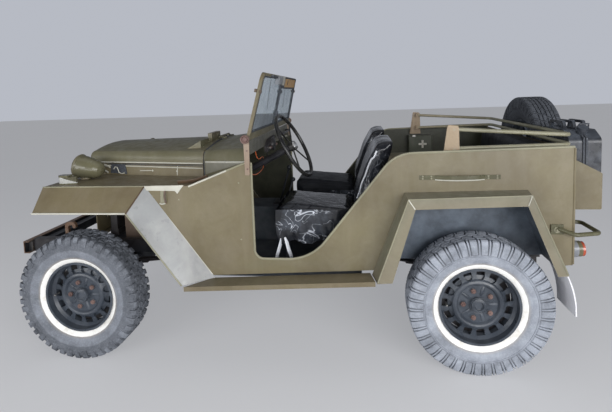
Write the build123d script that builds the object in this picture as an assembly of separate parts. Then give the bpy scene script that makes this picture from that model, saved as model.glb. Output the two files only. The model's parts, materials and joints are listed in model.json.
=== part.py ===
from build123d import *
from math import cos, hypot, radians, sin, tan
import os

os.makedirs("parts", exist_ok=True)

# Open four-wheel-drive field car, millimetres.
# +X runs forward, +Y to the left and +Z up. Lengths along X are counted from the rear
# axle while the car is drawn, and save() moves the origin to the middle of its length.

# Driving dimensions
wheelbase = 2300
track = 1440
front_overhang = 645
rear_overhang = 705
tyre_diameter = 752
tyre_width = 180
body_half_width = 730
flare_overhang = 115
sheet = 3
clearance = 5
running_clearance = 0.05

# Heights
fender_top_z = 1035
flap_bottom_z = 903
sill_front_z = 505
sill_rear_z = 550
door_sill_z = 608
rail_front_z = 1202
rail_rear_z = 1222
post_top_z = 1169
floor_top_z = 505
rear_floor_top_z = 596
rear_panel_bottom_z = 598

# Lengths forward of the rear axle or, for the nose, of the front axle
front_x = wheelbase
nose_x = front_x + 140
fender_front_x = front_x + 212
fender_break_x = front_x - 433
apron_foot_x = front_x - 822
seam_x = front_x - 700
post_x = front_x - 1057
tub_rear_x = -485
riser_x = 620
tunnel_half = 125
tunnel_top_z = 745

# Ladder frame
rail_y = 360
rail_width = 50
rail_height = 90
rail_low_z = 407
rail_high_z = 500
rail_wall = 5

# Axles, knuckles and springs
axle_z = tyre_diameter / 2
axle_tube_radius = 34
diff_radius = 100
kingpin_y = track / 2 - 110
kingpin_radius = 12
spindle_radius = 20
spring_half_length = 420
spring_width = 45
spring_leaf = 9
spring_camber = 34

# Wheels
rim_radius = 214
rim_half_width = 65
seat_radius = 206
drum_radius = 155
backing_radius = 140
window_count = 15
nut_count = 5

# Steering
steering_y = 345
steering_wheel_radius = 214
steering_rim_radius = 12
column_radius = 22
shaft_radius = 10
column_slope = 27.4
column_yaw = 5

# Windshield
pivot_z = 1300
pivot_half_width = body_half_width - 30
shield_height = 383
shield_top_half_width = 640
shield_rake = 13.7
shield_depth = 19
shield_bar = 22
shield_rail_top = 34
shield_centre_bar = 14
glass_thickness = 5

# Soft-top bows
bow_pivot_x = 110
bow_upper_z = 1322
bow_lower_z = 1216
bow_reach = 603
bow_bend = 50
bow_half_width = body_half_width - 60
bow_tube = 22


# Lean of the splash panel and apron: length per unit of height
flare_half_width = body_half_width + flare_overhang
apron_run = (fender_break_x - apron_foot_x) / (fender_top_z - sill_front_z)
wheel_box_y = track / 2 - tyre_width / 2 - 75
splash_inner_y = 400
grille_half = 316
centre_x = (front_x + front_overhang - rear_overhang) / 2


# Helpers
def save(name, shape):
    """Write one node, with the origin moved to the middle of the car's length."""
    solids = shape.solids()
    moved = [Pos(-centre_x, 0, 0) * solid for solid in solids]
    shape = moved[0] if len(moved) == 1 else Compound(children=moved)
    shape.label = name
    export_step(shape, f"parts/{name}.step")
    print(name, len(solids))


def block(x_range, y_range, z_range):
    """A box between two limits on each axis."""
    (x0, x1), (y0, y1), (z0, z1) = x_range, y_range, z_range
    return Pos((x0 + x1) / 2, (y0 + y1) / 2, (z0 + z1) / 2) * Box(x1 - x0, y1 - y0, z1 - z0)


def mirrored(shape):
    """The same piece on the other side of the car."""
    return mirror(shape, about=Plane.XZ)


def both_sides(shape):
    """The left piece and its mirror image, which don't touch."""
    return Compound(children=list(shape.solids()) + list(mirrored(shape).solids()))


def group(*shapes):
    """Several solids that don't touch, as one shape."""
    return Compound(children=[solid for shape in shapes for solid in shape.solids()])


def plate(points, thickness, towards):
    """A flat sheet on a polygon of space points, thickened on the side of one point."""
    corners = [Vector(*point) for point in points]
    face = make_face(Polyline(*corners, close=True)).face()
    normal = face.normal_at()
    side = normal.dot(Vector(*towards) - corners[0])
    direction = normal if side > 0 else normal * -1
    return extrude(face, amount=thickness, dir=direction)


def rounded_outline(rows):
    """A closed flat outline from rows of (across, up, corner radius), on plane XY."""
    points = [Vector(row[0], row[1]) for row in rows]
    count = len(rows)
    trimmed = []
    for index, (point, row) in enumerate(zip(points, rows)):
        before = (points[index - 1] - point).normalized()
        after = (points[(index + 1) % count] - point).normalized()
        if row[2] == 0:
            trimmed.append((point, None, point))
            continue
        half_angle = radians(before.get_angle(after)) / 2
        reach = row[2] / tan(half_angle)
        bisector = (before + after).normalized()
        middle = point + bisector * (row[2] / sin(half_angle) - row[2])
        trimmed.append((point + before * reach, middle, point + after * reach))
    edges = []
    for index, (start, middle, end) in enumerate(trimmed):
        if middle is not None:
            edges.append(ThreePointArc(start, middle, end))
        following = trimmed[(index + 1) % count][0]
        if (following - end).length > 0.001:
            edges.append(Line(end, following))
    return make_face(edges)


def side_plate(rows, y_low, y_high):
    """An outline of (x, z, radius) rows, drawn on the car's side between two Y values."""
    face = rounded_outline(rows)
    solid = extrude(face, amount=y_high - y_low)
    return Pos(0, y_high, 0) * Rot(90, 0, 0) * solid


def cross_plate(rows, x_low, x_high):
    """An outline of (y, z, radius) rows, drawn across the car between two X values."""
    face = rounded_outline(rows)
    solid = extrude(face, amount=x_high - x_low)
    return Pos(x_low, 0, 0) * Rot(0, 90, 0) * Rot(0, 0, 90) * solid


def top_plate(rows, z_low, z_high):
    """An outline of (x, y, radius) rows, drawn from above between two Z values."""
    return Pos(0, 0, z_low) * extrude(rounded_outline(rows), amount=z_high - z_low)


def rod(start, end, radius):
    """A round bar between two points."""
    start = Vector(*start)
    end = Vector(*end)
    length = (end - start).length
    bar = Cylinder(radius, length, align=(Align.CENTER, Align.CENTER, Align.MIN))
    return Plane(origin=start, z_dir=end - start) * bar


def tube(points, bend, radius):
    """A bent round bar through the points, with the same radius at each bend."""
    path = FilletPolyline(*points, radius=bend)
    section = Plane(origin=path @ 0, z_dir=path % 0) * Circle(radius)
    return sweep(section, path=path)


def ring(profile, axis=Axis.Y):
    """A turned piece from a table of (radius, along the axis) rows."""
    points = [(radius, along) for radius, along in profile]
    return revolve(make_face(Polyline(*points, close=True)), axis=axis)


# Hood and cowl sections
hood_gap = 5
# section: half width, side foot, shoulder, corner inset, corner height, crown
nose_section = dict(half=grille_half + 10, foot=1115, shoulder=1140, inset=50, corner=1196, crown=1228)
seam_section = dict(half=468, foot=1115, shoulder=1135, inset=58, corner=1202, crown=1238)
cowl_front = dict(half=468, foot=fender_top_z, shoulder=1135, inset=58, corner=1202, crown=1238)
cowl_rear = dict(half=body_half_width - sheet, foot=1164, shoulder=1170, inset=130, corner=1240, crown=1276)


def arch_face(x, half, foot, shoulder, inset, corner, crown, shrink=0.0, drop=0.0):
    """One cross-section of the hood or cowl: upright sides, rounded shoulders, a crown."""
    half = half - shrink
    corner_y = half - inset
    corner_z = corner - shrink
    crown_z = crown - shrink
    foot = foot - drop
    lift = 0.72
    shoulder_mid = (half - inset * 0.25, shoulder + (corner_z - shoulder) * lift)
    points = [
        (half, foot),
        (half, shoulder),
        (corner_y, corner_z),
        (-corner_y, corner_z),
        (-half, shoulder),
        (-half, foot),
    ]
    space = [Vector(x, y, z) for y, z in points]
    edges = [
        Line(space[0], space[1]),
        ThreePointArc(space[1], Vector(x, *shoulder_mid), space[2]),
        ThreePointArc(space[2], Vector(x, 0, crown_z), space[3]),
        ThreePointArc(space[3], Vector(x, -shoulder_mid[0], shoulder_mid[1]), space[4]),
        Line(space[4], space[5]),
        Line(space[5], space[0]),
    ]
    return make_face(edges)


def hood_half(x):
    """Half width of the hood at a place along the car."""
    share = (nose_x - x) / (nose_x - seam_x)
    return nose_section["half"] + share * (seam_section["half"] - nose_section["half"])


# Wheels
def tyre(centre):
    """A tyre with plain tread and square shoulders, turned about the wheel's axle."""
    radius = tyre_diameter / 2
    bulge = tyre_width / 2
    bead = rim_half_width - 9
    # shoulder rows, from the widest part of the wall out to the tread: radius, half width
    shoulder = [
        (300, bulge),
        (radius - 40, bulge - 2),
        (radius - 12, bulge - 6),
        (radius - 3, bulge - 10),
        (radius, bulge - 15),
    ]
    outline = [Line((seat_radius, -bead), (seat_radius, bead))]
    outline.append(Line((radius, bulge - 15), (radius, 15 - bulge)))
    for side in (1, -1):
        foot = (rim_radius + 2, side * (bead + 1))
        outline.append(Line((seat_radius, side * bead), foot))
        outline.append(ThreePointArc(foot, (258, side * (bulge - 8)), (300, side * bulge)))
        for start, end in zip(shoulder, shoulder[1:]):
            outline.append(Line((start[0], side * start[1]), (end[0], side * end[1])))
    return Pos(*centre) * revolve(make_face(outline), axis=Axis.Y)


def rim_and_disc():
    """A pressed steel rim with its windowed disc, outer face towards +Y."""
    edge = rim_half_width
    barrel = ring(
        [
            (rim_radius, edge),
            (rim_radius, edge - 6),
            (seat_radius, edge - 7),
            (seat_radius, 26),
            (192, 12),
            (192, -22),
            (seat_radius, -36),
            (seat_radius, 7 - edge),
            (rim_radius, 6 - edge),
            (rim_radius, -edge),
            (201, -edge),
            (201, -36),
            (187, -22),
            (187, 12),
            (201, 26),
            (201, edge),
        ]
    )
    disc = ring(
        [
            (189, 4),
            (189, 11),
            (158, 15),
            (140, 24),
            (132, 33),
            (122, 37),
            (113, 34),
            (104, 22),
            (30, 22),
            (30, 15),
            (107, 15),
            (116, 28),
            (122, 30),
            (129, 27),
            (137, 18),
            (155, 8),
        ]
    )
    shape = barrel + disc
    # U-shaped windows, round at their inner ends
    window = Pos(158, 0, 0) * Rot(90, 0, 0) * Cylinder(22, 60)
    window += Pos(172, 0, 0) * Box(28, 60, 44)
    for index in range(window_count):
        shape -= Rot(0, 360 / window_count * index, 0) * window
    return shape


def wheel(centre, outward):
    """Rim, disc, hub, nuts and brake drum as the one piece that turns."""
    shape = rim_and_disc()
    drum_face = 11 - rim_half_width
    shape += ring([(0, 20), (0, 40), (22, 40), (26, 50), (38, 46), (42, 20)])
    shape += ring([(0, drum_face), (0, 22), (95, 22), (drum_radius, 2), (drum_radius, drum_face)])
    nut = Rot(90, 0, 0) * extrude(RegularPolygon(12, 6), amount=-14)
    for index in range(nut_count):
        shape += Rot(0, 360 / nut_count * index, 0) * Pos(78, 20, 0) * nut
    bore = Cylinder(spindle_radius + running_clearance, 2 * rim_half_width - 76)
    shape -= Pos(0, drum_face + 20, 0) * Rot(90, 0, 0) * bore
    if outward < 0:
        shape = mirrored(shape)
    return Pos(*centre) * shape


wheel_places = {
    "front_left": (front_x, track / 2, axle_z),
    "front_right": (front_x, -track / 2, axle_z),
    "rear_left": (0, track / 2, axle_z),
    "rear_right": (0, -track / 2, axle_z),
}
for corner_name, place in wheel_places.items():
    save("tyre_" + corner_name, tyre(place))
    save("wheel_" + corner_name, wheel(place, place[1]))

# Spare wheel, upright behind the rear panel with its outer face to the rear
spare_x = -rear_overhang + tyre_width / 2
spare_y = -190
spare_z = 1085
spare_turn = Pos(spare_x, spare_y, spare_z) * Rot(0, 0, 90)
save("spare_tyre", spare_turn * tyre((0, 0, 0)))
save("spare_wheel", spare_turn * rim_and_disc())


# Knuckles, which carry the front wheels and steer them
drum_inner_y = track / 2 - rim_half_width + 11
backing_y = drum_inner_y - clearance
knuckle_barrel_radius = 27
knuckle_half_height = 48
steering_arm = 150
arm_z = axle_z


def knuckle():
    """Left knuckle: barrel on the kingpin, spindle, backing plate and steering arm."""
    barrel = Cylinder(knuckle_barrel_radius, 2 * knuckle_half_height)
    shape = Pos(front_x, kingpin_y, axle_z) * barrel
    shape += rod((front_x, kingpin_y, axle_z), (front_x, backing_y - 5, axle_z), 24)
    shape += rod((front_x, backing_y - 6, axle_z), (front_x, backing_y, axle_z), backing_radius)
    spindle_end = drum_inner_y + 44
    shape += rod((front_x, backing_y - 6, axle_z), (front_x, spindle_end, axle_z), spindle_radius)
    shape += block(
        (front_x, front_x + steering_arm), (kingpin_y - 11, kingpin_y + 11), (arm_z - 9, arm_z + 9)
    )
    shape += Pos(front_x + steering_arm, kingpin_y, arm_z) * Cylinder(18, 18)
    kingpin_bore = Cylinder(kingpin_radius + running_clearance, 4 * knuckle_half_height)
    pin_bore = Cylinder(8 + running_clearance, 60)
    shape -= Pos(front_x, kingpin_y, axle_z) * kingpin_bore
    shape -= Pos(front_x + steering_arm, kingpin_y, arm_z) * pin_bore
    return shape


save("knuckle_left", knuckle())
save("knuckle_right", mirrored(knuckle()))


def tie_rod():
    """Track rod under the steering arms, with a pin up into each arm's eye."""
    rod_z = arm_z - 9 - 5 - 15
    x = front_x + steering_arm
    shape = rod((x, -kingpin_y, rod_z), (x, kingpin_y, rod_z), 12)
    for side in (-1, 1):
        # the right pin is loose in its eye, where the linkage is open
        pin_radius = 8 if side > 0 else 7
        pin = Cylinder(pin_radius, 46, align=(Align.CENTER, Align.CENTER, Align.MIN))
        shape += Pos(x, side * kingpin_y, rod_z) * Cylinder(17, 30)
        shape += Pos(x, side * kingpin_y, rod_z) * pin
    return shape


save("tie_rod", tie_rod())


# Axles
def axle(x, half_length, pinion_side):
    """A live axle: tube, differential housing and the pinion's neck."""
    shape = rod((x, -half_length, axle_z), (x, half_length, axle_z), axle_tube_radius)
    shape += Pos(x, 0, axle_z) * Sphere(diff_radius)
    nose = x + pinion_side * (diff_radius + 55)
    shape += rod((x, 0, axle_z), (nose, 0, axle_z + 16), 42)
    for side in (-1, 1):
        pad_y = side * rail_y
        pad = block(
            (x - 45, x + 45),
            (pad_y - spring_width / 2, pad_y + spring_width / 2),
            (axle_z, axle_z + axle_tube_radius + 6),
        )
        shape += pad
    return shape


def front_axle():
    """The front axle's ends fork above and below the knuckles and hold the kingpins."""
    shape = axle(front_x, kingpin_y - 62, -1)
    arm_gap = knuckle_half_height + clearance
    for side in (-1, 1):
        inner = kingpin_y - 62
        web = block(
            (front_x - 27, front_x + 27),
            (inner - 8, inner + 14),
            (axle_z - arm_gap - 18, axle_z + arm_gap + 18),
        )
        for level in (-1, 1):
            low = axle_z + level * (arm_gap + 9) - 9
            arm = block((front_x - 24, front_x + 24), (inner, kingpin_y + 20), (low, low + 18))
            web += arm
        fork = web + Pos(front_x, kingpin_y, axle_z) * Cylinder(kingpin_radius, 2 * arm_gap + 30)
        shape += fork if side > 0 else mirrored(fork)
    return shape


def rear_axle():
    """The rear axle's ends carry backing plates and the stub shafts of the wheels."""
    shape = axle(0, backing_y - 3, 1)
    for side in (-1, 1):
        plate_in = side * (backing_y - 6)
        plate_out = side * backing_y
        shape += rod((0, plate_in, axle_z), (0, plate_out, axle_z), backing_radius)
        shape += rod((0, plate_in, axle_z), (0, side * (drum_inner_y + 44), axle_z), spindle_radius)
    return shape


save("front_axle", front_axle())
save("rear_axle", rear_axle())

# Leaf springs
spring_pad_z = axle_z + axle_tube_radius + 6
eye_radius = 17
eye_z = spring_pad_z + 3 * spring_leaf + spring_camber


def leaf_spring(x):
    """A pack of leaves of falling length, curved down to the axle, with rolled eyes."""
    shape = None
    # leaf: number from the bottom, half length
    for level, half in ((0, 230), (1, 340), (2, spring_half_length)):
        rise = spring_camber * (half / spring_half_length) ** 2
        low = spring_pad_z + level * spring_leaf
        high = low + spring_leaf
        edges = [
            ThreePointArc((x - half, low + rise), (x, low), (x + half, low + rise)),
            Line((x + half, low + rise), (x + half, high + rise)),
            ThreePointArc((x + half, high + rise), (x, high), (x - half, high + rise)),
            Line((x - half, high + rise), (x - half, low + rise)),
        ]
        leaf = Pos(0, rail_y + spring_width / 2, 0) * Rot(90, 0, 0)
        leaf = leaf * extrude(make_face(edges), amount=spring_width)
        shape = leaf if shape is None else shape + leaf
    for end in (-1, 1):
        eye = Pos(x + end * spring_half_length, rail_y, eye_z) * Rot(90, 0, 0)
        shape += eye * Cylinder(eye_radius, spring_width)
    return shape


springs = [leaf_spring(x) for x in (0, front_x)]
save("leaf_springs", group(*springs, *[mirrored(spring) for spring in springs]))


# Ladder frame
def ladder_frame():
    """Two channel side rails that rise over the axles, cross members and spring hangers."""
    rail_rear_x = tub_rear_x + 25
    rail_front_x = front_x + front_overhang - 40
    low_rear = spring_half_length + 60
    low_front = front_x - spring_half_length - 60
    bottom = [
        (rail_rear_x, rail_high_z, 0),
        (low_rear, rail_high_z, 60),
        (low_rear + 130, rail_low_z, 60),
        (low_front - 130, rail_low_z, 60),
        (low_front, rail_high_z, 60),
        (rail_front_x, rail_high_z, 0),
    ]
    top = [(x, z + rail_height, r) for x, z, r in reversed(bottom)]
    outer = side_plate(bottom + top, rail_y - rail_width / 2, rail_y + rail_width / 2)
    inset = rail_wall
    pocket_bottom = [(x, z + inset, r) for x, z, r in bottom]
    pocket_top = [(x, z - inset, r) for x, z, r in top]
    pocket = side_plate(
        pocket_bottom + pocket_top, rail_y - rail_width / 2 - 1, rail_y + rail_width / 2 - inset
    )
    rail = outer - pocket
    cheek_depth = 8
    for axle_x in (0, front_x):
        for end in (-1, 1):
            eye_x = axle_x + end * spring_half_length
            for cheek_side in (-1, 1):
                inner = spring_width / 2
                cheek_y = sorted(
                    (rail_y + cheek_side * inner, rail_y + cheek_side * (inner + cheek_depth))
                )
                rail += block(
                    (eye_x - 20, eye_x + 20), cheek_y, (eye_z - 20, rail_high_z + inset)
                )
    shape = rail + mirrored(rail)
    inner_y = rail_y + rail_width / 2 - inset
    # cross member: place along the car, low edge, height
    members = [
        (rail_rear_x + 30, rail_high_z + 10, 60),
        (spring_half_length + 250, rail_low_z + 58, 27),
        (front_x - 1150, rail_low_z + 2, 20),
        (front_x - 330, rail_high_z + 2, 38),
        (nose_x - 60, rail_high_z + 10, 60),
        (front_x + 560, rail_high_z + 10, 60),
    ]
    for place, low, height in members:
        shape += block((place - 30, place + 30), (-inner_y, inner_y), (low, low + height))
    return shape


save("ladder_frame", ladder_frame())


# Bumper with its two towing hooks
hook_x = front_x + 335
hook_width = 22


def tow_hook():
    """A hook bent from flat bar, standing on the left rail with its mouth to the rear."""
    low = rail_high_z + rail_height
    rows = [
        (hook_x - 45, low, 0),
        (hook_x + 35, low, 0),
        (hook_x + 35, low + 116, 30),
        (hook_x - 45, low + 116, 30),
        (hook_x - 45, low + 70, 8),
        (hook_x - 25, low + 70, 8),
        (hook_x - 22, low + 92, 12),
        (hook_x + 12, low + 92, 12),
        (hook_x + 12, low + 20, 12),
        (hook_x - 45, low + 14, 0),
    ]
    return side_plate(rows, rail_y - hook_width / 2, rail_y + hook_width / 2)


def front_bumper():
    """A channel bar across the rail ends."""
    back = front_x + front_overhang - 40
    face = front_x + front_overhang
    low = rail_high_z + 2
    high = rail_high_z + rail_height - 4
    half = 435
    wall = 6
    pad = 40
    shape = block((back, face), (-half, half), (low, high))
    # hollow: from, to, across the car; solid pads stay in front of the rails
    for y_low, y_high in (
        (-half - 1, -rail_y - pad),
        (pad - rail_y, rail_y - pad),
        (rail_y + pad, half + 1),
    ):
        shape -= block((back - 1, face - wall), (y_low, y_high), (low + wall, high - wall))
    return group(shape, tow_hook(), mirrored(tow_hook()))


save("front_bumper", front_bumper())


# Power train
engine_bottom_z = rail_high_z + 40


def engine_block():
    """Engine, clutch housing, gearbox and transfer case as one plain mass."""
    engine = block((front_x - 640, front_x + 20), (-205, 205), (engine_bottom_z, 1000))
    gearbox_low = rail_low_z + 22
    gearbox = block((front_x - 1250, front_x - 640), (-108, 108), (gearbox_low, 690))
    return engine + gearbox


save("engine_block", engine_block())


def propshafts():
    """A shaft to each axle, with a yoke at each end."""
    rear_case_z = rail_low_z + 58
    front_case_z = rail_low_z + 50
    pinion_z = axle_z + 16
    reach = diff_radius + 50
    rear = rod((reach, 0, pinion_z), (front_x - 1245, 0, rear_case_z), 24)
    front = rod((front_x - 645, 0, front_case_z), (front_x - reach, 0, pinion_z), 24)
    case = engine_block()
    return group(rear - case - rear_axle(), front - case - front_axle())


save("propshafts", propshafts())


# Radiator and grille panel
def radiator():
    """A radiator core between its top and bottom tanks, on the cross member."""
    low = rail_high_z + 70
    core = block((nose_x - 78, nose_x - 28), (-235, 235), (low + 40, 1060))
    top_tank = block((nose_x - 92, nose_x - 18), (-235, 235), (1060, 1112))
    bottom_tank = block((nose_x - 85, nose_x - 22), (-235, 235), (low, low + 40))
    return core + top_tank + bottom_tank


save("radiator", radiator())

slot_count = 9
slot_pitch = 50
slot_width = 26


def grille_panel():
    """An upright pressed panel under the hood's nose, with tall slots."""
    half = grille_half
    top = nose_section["foot"] - hood_gap
    rows = [(-half, 600, 20), (half, 600, 20), (half, top, 0), (-half, top, 0)]
    face_x = nose_x + 26
    shape = cross_plate(rows, face_x - 4, face_x)
    for index in range(slot_count):
        y = (index - (slot_count - 1) / 2) * slot_pitch
        rows = [
            (y - slot_width / 2, 690, 12),
            (y + slot_width / 2, 690, 12),
            (y + slot_width / 2, 1080, 12),
            (y - slot_width / 2, 1080, 12),
        ]
        shape -= cross_plate(rows, face_x - 10, face_x + 10)
    foot = block((nose_x - 14, face_x), (-rail_y, rail_y), (rail_high_z + rail_height, 604))
    return shape + foot


save("grille_panel", grille_panel())


# Hood and cowl
hinge_z = 1254
dash_low_z = 1200
hinge_half = 60
hinge_radius = 9


def smaller(section, shrink):
    """The same section drawn in by some millimetres all round."""
    drawn = dict(section)
    drawn["half"] -= shrink
    drawn["crown"] -= shrink
    drawn["corner"] -= shrink
    drawn["shoulder"] -= shrink * 0.3
    return drawn


def hood():
    """The engine lid: a crowned sheet with a rounded nose."""
    # nose step: forward of the hood's front section, drawn in by
    nose_steps = ((0, 0), (18, 3), (32, 10), (42, 22), (46, 40))
    rear = (seam_x + hood_gap / 2, seam_section)
    front = [(nose_x + step, smaller(nose_section, shrink)) for step, shrink in nose_steps]
    sections = [rear] + front
    outer = loft([arch_face(x, **section) for x, section in sections], ruled=True)
    inner_sections = [(rear[0] - 1, rear[1])] + front[:-1]
    inner_faces = [
        arch_face(x - (0 if index == 0 else 4), **section, shrink=sheet, drop=1)
        for index, (x, section) in enumerate(inner_sections)
    ]
    inner = loft(inner_faces, ruled=True)
    crown = seam_section["crown"]
    # raised wedge at the left of the seam, highest at its rear end, and two stop blocks
    wedge = side_plate(
        [(seam_x + 50, crown - 60, 0), (seam_x + 195, crown - 60, 0), (seam_x + 50, crown + 18, 0)],
        210,
        370,
    )
    fittings = wedge
    for y_range in ((20, 100), (110, 200)):
        fittings += block((seam_x + 30, seam_x + 60), y_range, (crown - 30, crown + 50))
    # the lid's half of the hinge: a leaf and the barrel's middle
    fittings += block((seam_x + 3, seam_x + 38), (-hinge_half, hinge_half), (crown - 12, hinge_z - 2))
    barrel = rod((seam_x, -hinge_half, hinge_z), (seam_x, hinge_half, hinge_z), hinge_radius)
    return (outer - inner) + (fittings - inner) + barrel


save("hood", hood())


def hood_side():
    """The fixed upright panel between the hood and the left fender."""
    foot_z = fender_top_z
    top_z = seam_section["foot"] - hood_gap
    front = nose_x + 18
    rear = seam_x + 6
    points = [
        (front, hood_half(front) - 3, foot_z),
        (rear, hood_half(rear) - 3, foot_z),
        (rear, hood_half(rear) - 3, top_z),
        (front, hood_half(front) - 3, top_z),
    ]
    return plate(points, sheet, (seam_x, 0, top_z))


save("hood_sides", both_sides(hood_side()))


def cowl():
    """The scuttle behind the hood, firewall, toe board, dash and windshield brackets."""
    front_x_cowl = seam_x - hood_gap / 2
    outer = loft(
        [arch_face(front_x_cowl, **cowl_front), arch_face(post_x, **cowl_rear)], ruled=True
    )
    inner = loft(
        [
            arch_face(front_x_cowl + 1, **cowl_front, shrink=sheet, drop=3),
            arch_face(post_x - 1, **cowl_rear, shrink=sheet, drop=3),
        ],
        ruled=True,
    )
    shape = outer - inner
    shoulder = plate(
        [
            (front_x_cowl, cowl_front["half"] - 3, fender_top_z),
            (front_x_cowl, body_half_width - sheet, fender_top_z),
            (post_x, body_half_width - sheet, cowl_rear["foot"]),
        ],
        sheet,
        (post_x, 0, 0),
    )
    shape += shoulder + mirrored(shoulder)
    # firewall with the gearbox opening
    firewall_x = front_x_cowl - 8
    fire = arch_face(firewall_x, **cowl_front, shrink=1.5, drop=0)
    firewall = extrude(fire, amount=sheet, dir=(-1, 0, 0))
    wall_y = splash_inner_y
    firewall += block((firewall_x - sheet, firewall_x), (-wall_y, wall_y), (640, fender_top_z + 2))
    firewall -= block((firewall_x - 20, firewall_x + 5), (-tunnel_half, tunnel_half), (600, tunnel_top_z))
    shape += firewall
    well_low = sill_front_z + (firewall_x - sheet - apron_foot_x) / apron_run
    well_top = fender_top_z - sheet
    well_side = side_plate(
        [
            (firewall_x - sheet, well_low, 0),
            (apron_foot_x + apron_run * (well_top - sill_front_z), well_top, 0),
            (firewall_x - sheet, well_top, 0),
        ],
        wall_y - sheet,
        wall_y,
    )
    shape += well_side + mirrored(well_side)
    # dash panel, which stands up to the windshield's lower rail
    dash_half = pivot_half_width - 10
    dash_top = pivot_z - 21
    dash_rows = [
        (-dash_half, dash_low_z, 0),
        (-160, dash_low_z, 0),
        (-110, dash_low_z + 38, 30),
        (110, dash_low_z + 38, 30),
        (160, dash_low_z, 0),
        (dash_half, dash_low_z, 0),
        (dash_half, dash_top, 12),
        (-dash_half, dash_top, 12),
    ]
    shape += cross_plate(dash_rows, post_x + 1, post_x + 1 + sheet)
    # the body's two knuckles of the hood's hinge, each with its leaf
    for side in (-1, 1):
        near = side * (hinge_half + clearance)
        far = side * (hinge_half + 30)
        leaf_y = sorted((near, far))
        shape += rod((seam_x, near, hinge_z), (seam_x, far, hinge_z), hinge_radius)
        shape += block((seam_x - 40, seam_x - 3), leaf_y, (cowl_front["crown"] - 4, hinge_z - 2))
    return shape


steering_centre = Vector(post_x - 211, steering_y, 1211)
column_level = cos(radians(column_slope))
column_dir = Vector(
    column_level * cos(radians(column_yaw)),
    -column_level * sin(radians(column_yaw)),
    -sin(radians(column_slope)),
)
column_across = Vector(sin(radians(column_yaw)), cos(radians(column_yaw)), 0)


def point_on_column(distance):
    """A point forward and down along the steering column from the wheel's centre."""
    return steering_centre + column_dir * distance


cowl_shape = cowl()
column_hole = rod(point_on_column(120), point_on_column(900), column_radius + 0.5)
save("cowl", cowl_shape - column_hole)


# Rear arches: outlines where the flare meets the body, at its lip, and round the opening
arch_foot_z = 524
arch_rear_foot_z = rear_panel_bottom_z - 14
arch_at_body = dict(front_foot=562, front_top=378, front_z=989, rear_z=1000, rear_top=-254, rear_foot=-402)
arch_at_lip = dict(front_foot=538, front_top=371, front_z=978, rear_z=997, rear_top=-232, rear_foot=-410)
arch_opening = dict(front_foot=461, front_top=336, front_z=925, rear_z=942, rear_top=-213, rear_foot=-358)


def arch_leans(arch):
    """Run per unit of height of the arch's front and rear legs."""
    front = (arch["front_foot"] - arch["front_top"]) / (arch["front_z"] - arch_foot_z)
    rear = (arch["rear_top"] - arch["rear_foot"]) / (arch["rear_z"] - arch_rear_foot_z)
    return front, rear


def arch_corners(arch, inset=0, drop=0):
    """Corners of an arch, drawn in by some millimetres, its feet lengthened by the drop."""
    front_lean, rear_lean = arch_leans(arch)
    front_in = inset * hypot(1, front_lean)
    rear_in = inset * hypot(1, rear_lean)
    return [
        (arch["front_foot"] - front_in + front_lean * drop, arch_foot_z - drop),
        (arch["front_top"] - front_in + inset * front_lean, arch["front_z"] - inset),
        (arch["rear_top"] + rear_in - inset * rear_lean, arch["rear_z"] - inset),
        (arch["rear_foot"] + rear_in - rear_lean * drop, arch_rear_foot_z - drop),
    ]


def arch_prism(arch, y_low, y_high, inset=0, drop=0):
    """An arch's outline as a straight solid across the car."""
    rows = [(x, z, 0) for x, z in arch_corners(arch, inset, drop)]
    return side_plate(rows, y_low, y_high)


def arch_taper(y_low, y_high, inset=0, drop=0):
    """The solid between the arch at the body and the arch at the flare's lip."""
    faces = []
    for arch, y in ((arch_at_body, y_low), (arch_at_lip, y_high)):
        corners = [Vector(x, y, z) for x, z in arch_corners(arch, inset, drop)]
        faces.append(make_face(Polyline(*corners, close=True)))
    return loft(faces, ruled=True)


# Body sides
def body_side():
    """Left side of the tub, with its door cut-out, rising rail and wheel arch."""
    front_foot, front_top, rear_top, rear_foot = arch_corners(arch_at_body)
    sill_end_x = front_foot[0] - arch_leans(arch_at_body)[0] * (sill_rear_z - arch_foot_z)
    rows = [
        (apron_foot_x, sill_front_z, 0),
        (fender_break_x - apron_run * sheet, fender_top_z - sheet, 0),
        (seam_x, fender_top_z - sheet, 0),
        (post_x, post_top_z, 0),
        (post_x - 20, post_top_z, 0),
        (post_x - 20, door_sill_z, 52),
        (post_x - 342, door_sill_z, 271),
        (423, rail_front_z, 198),
        (tub_rear_x, rail_rear_z, 12),
        (tub_rear_x, rear_panel_bottom_z, 12),
        (*rear_foot, 0),
        (*rear_top, 0),
        (*front_top, 0),
        (sill_end_x, sill_rear_z, 0),
    ]
    return side_plate(rows, body_half_width - sheet, body_half_width)


save("body_side_left", body_side())
save("body_side_right", mirrored(body_side()))


def wheel_box():
    """Left rear arch: the flare outside the body and the box inside it."""
    flare = arch_taper(body_half_width, flare_half_width)
    flare -= arch_taper(body_half_width - 1, flare_half_width - sheet, sheet, 90)
    flare -= arch_prism(arch_opening, body_half_width - 5, flare_half_width + 5, drop=90)
    inner = arch_prism(arch_at_body, wheel_box_y, body_half_width)
    inner -= arch_prism(arch_at_body, wheel_box_y + sheet, body_half_width + 5, sheet, 90)
    inner -= block((-600, 700), (0, body_half_width + 1), (0, sill_rear_z))
    return flare + inner


save("wheel_boxes", both_sides(wheel_box()))


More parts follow.
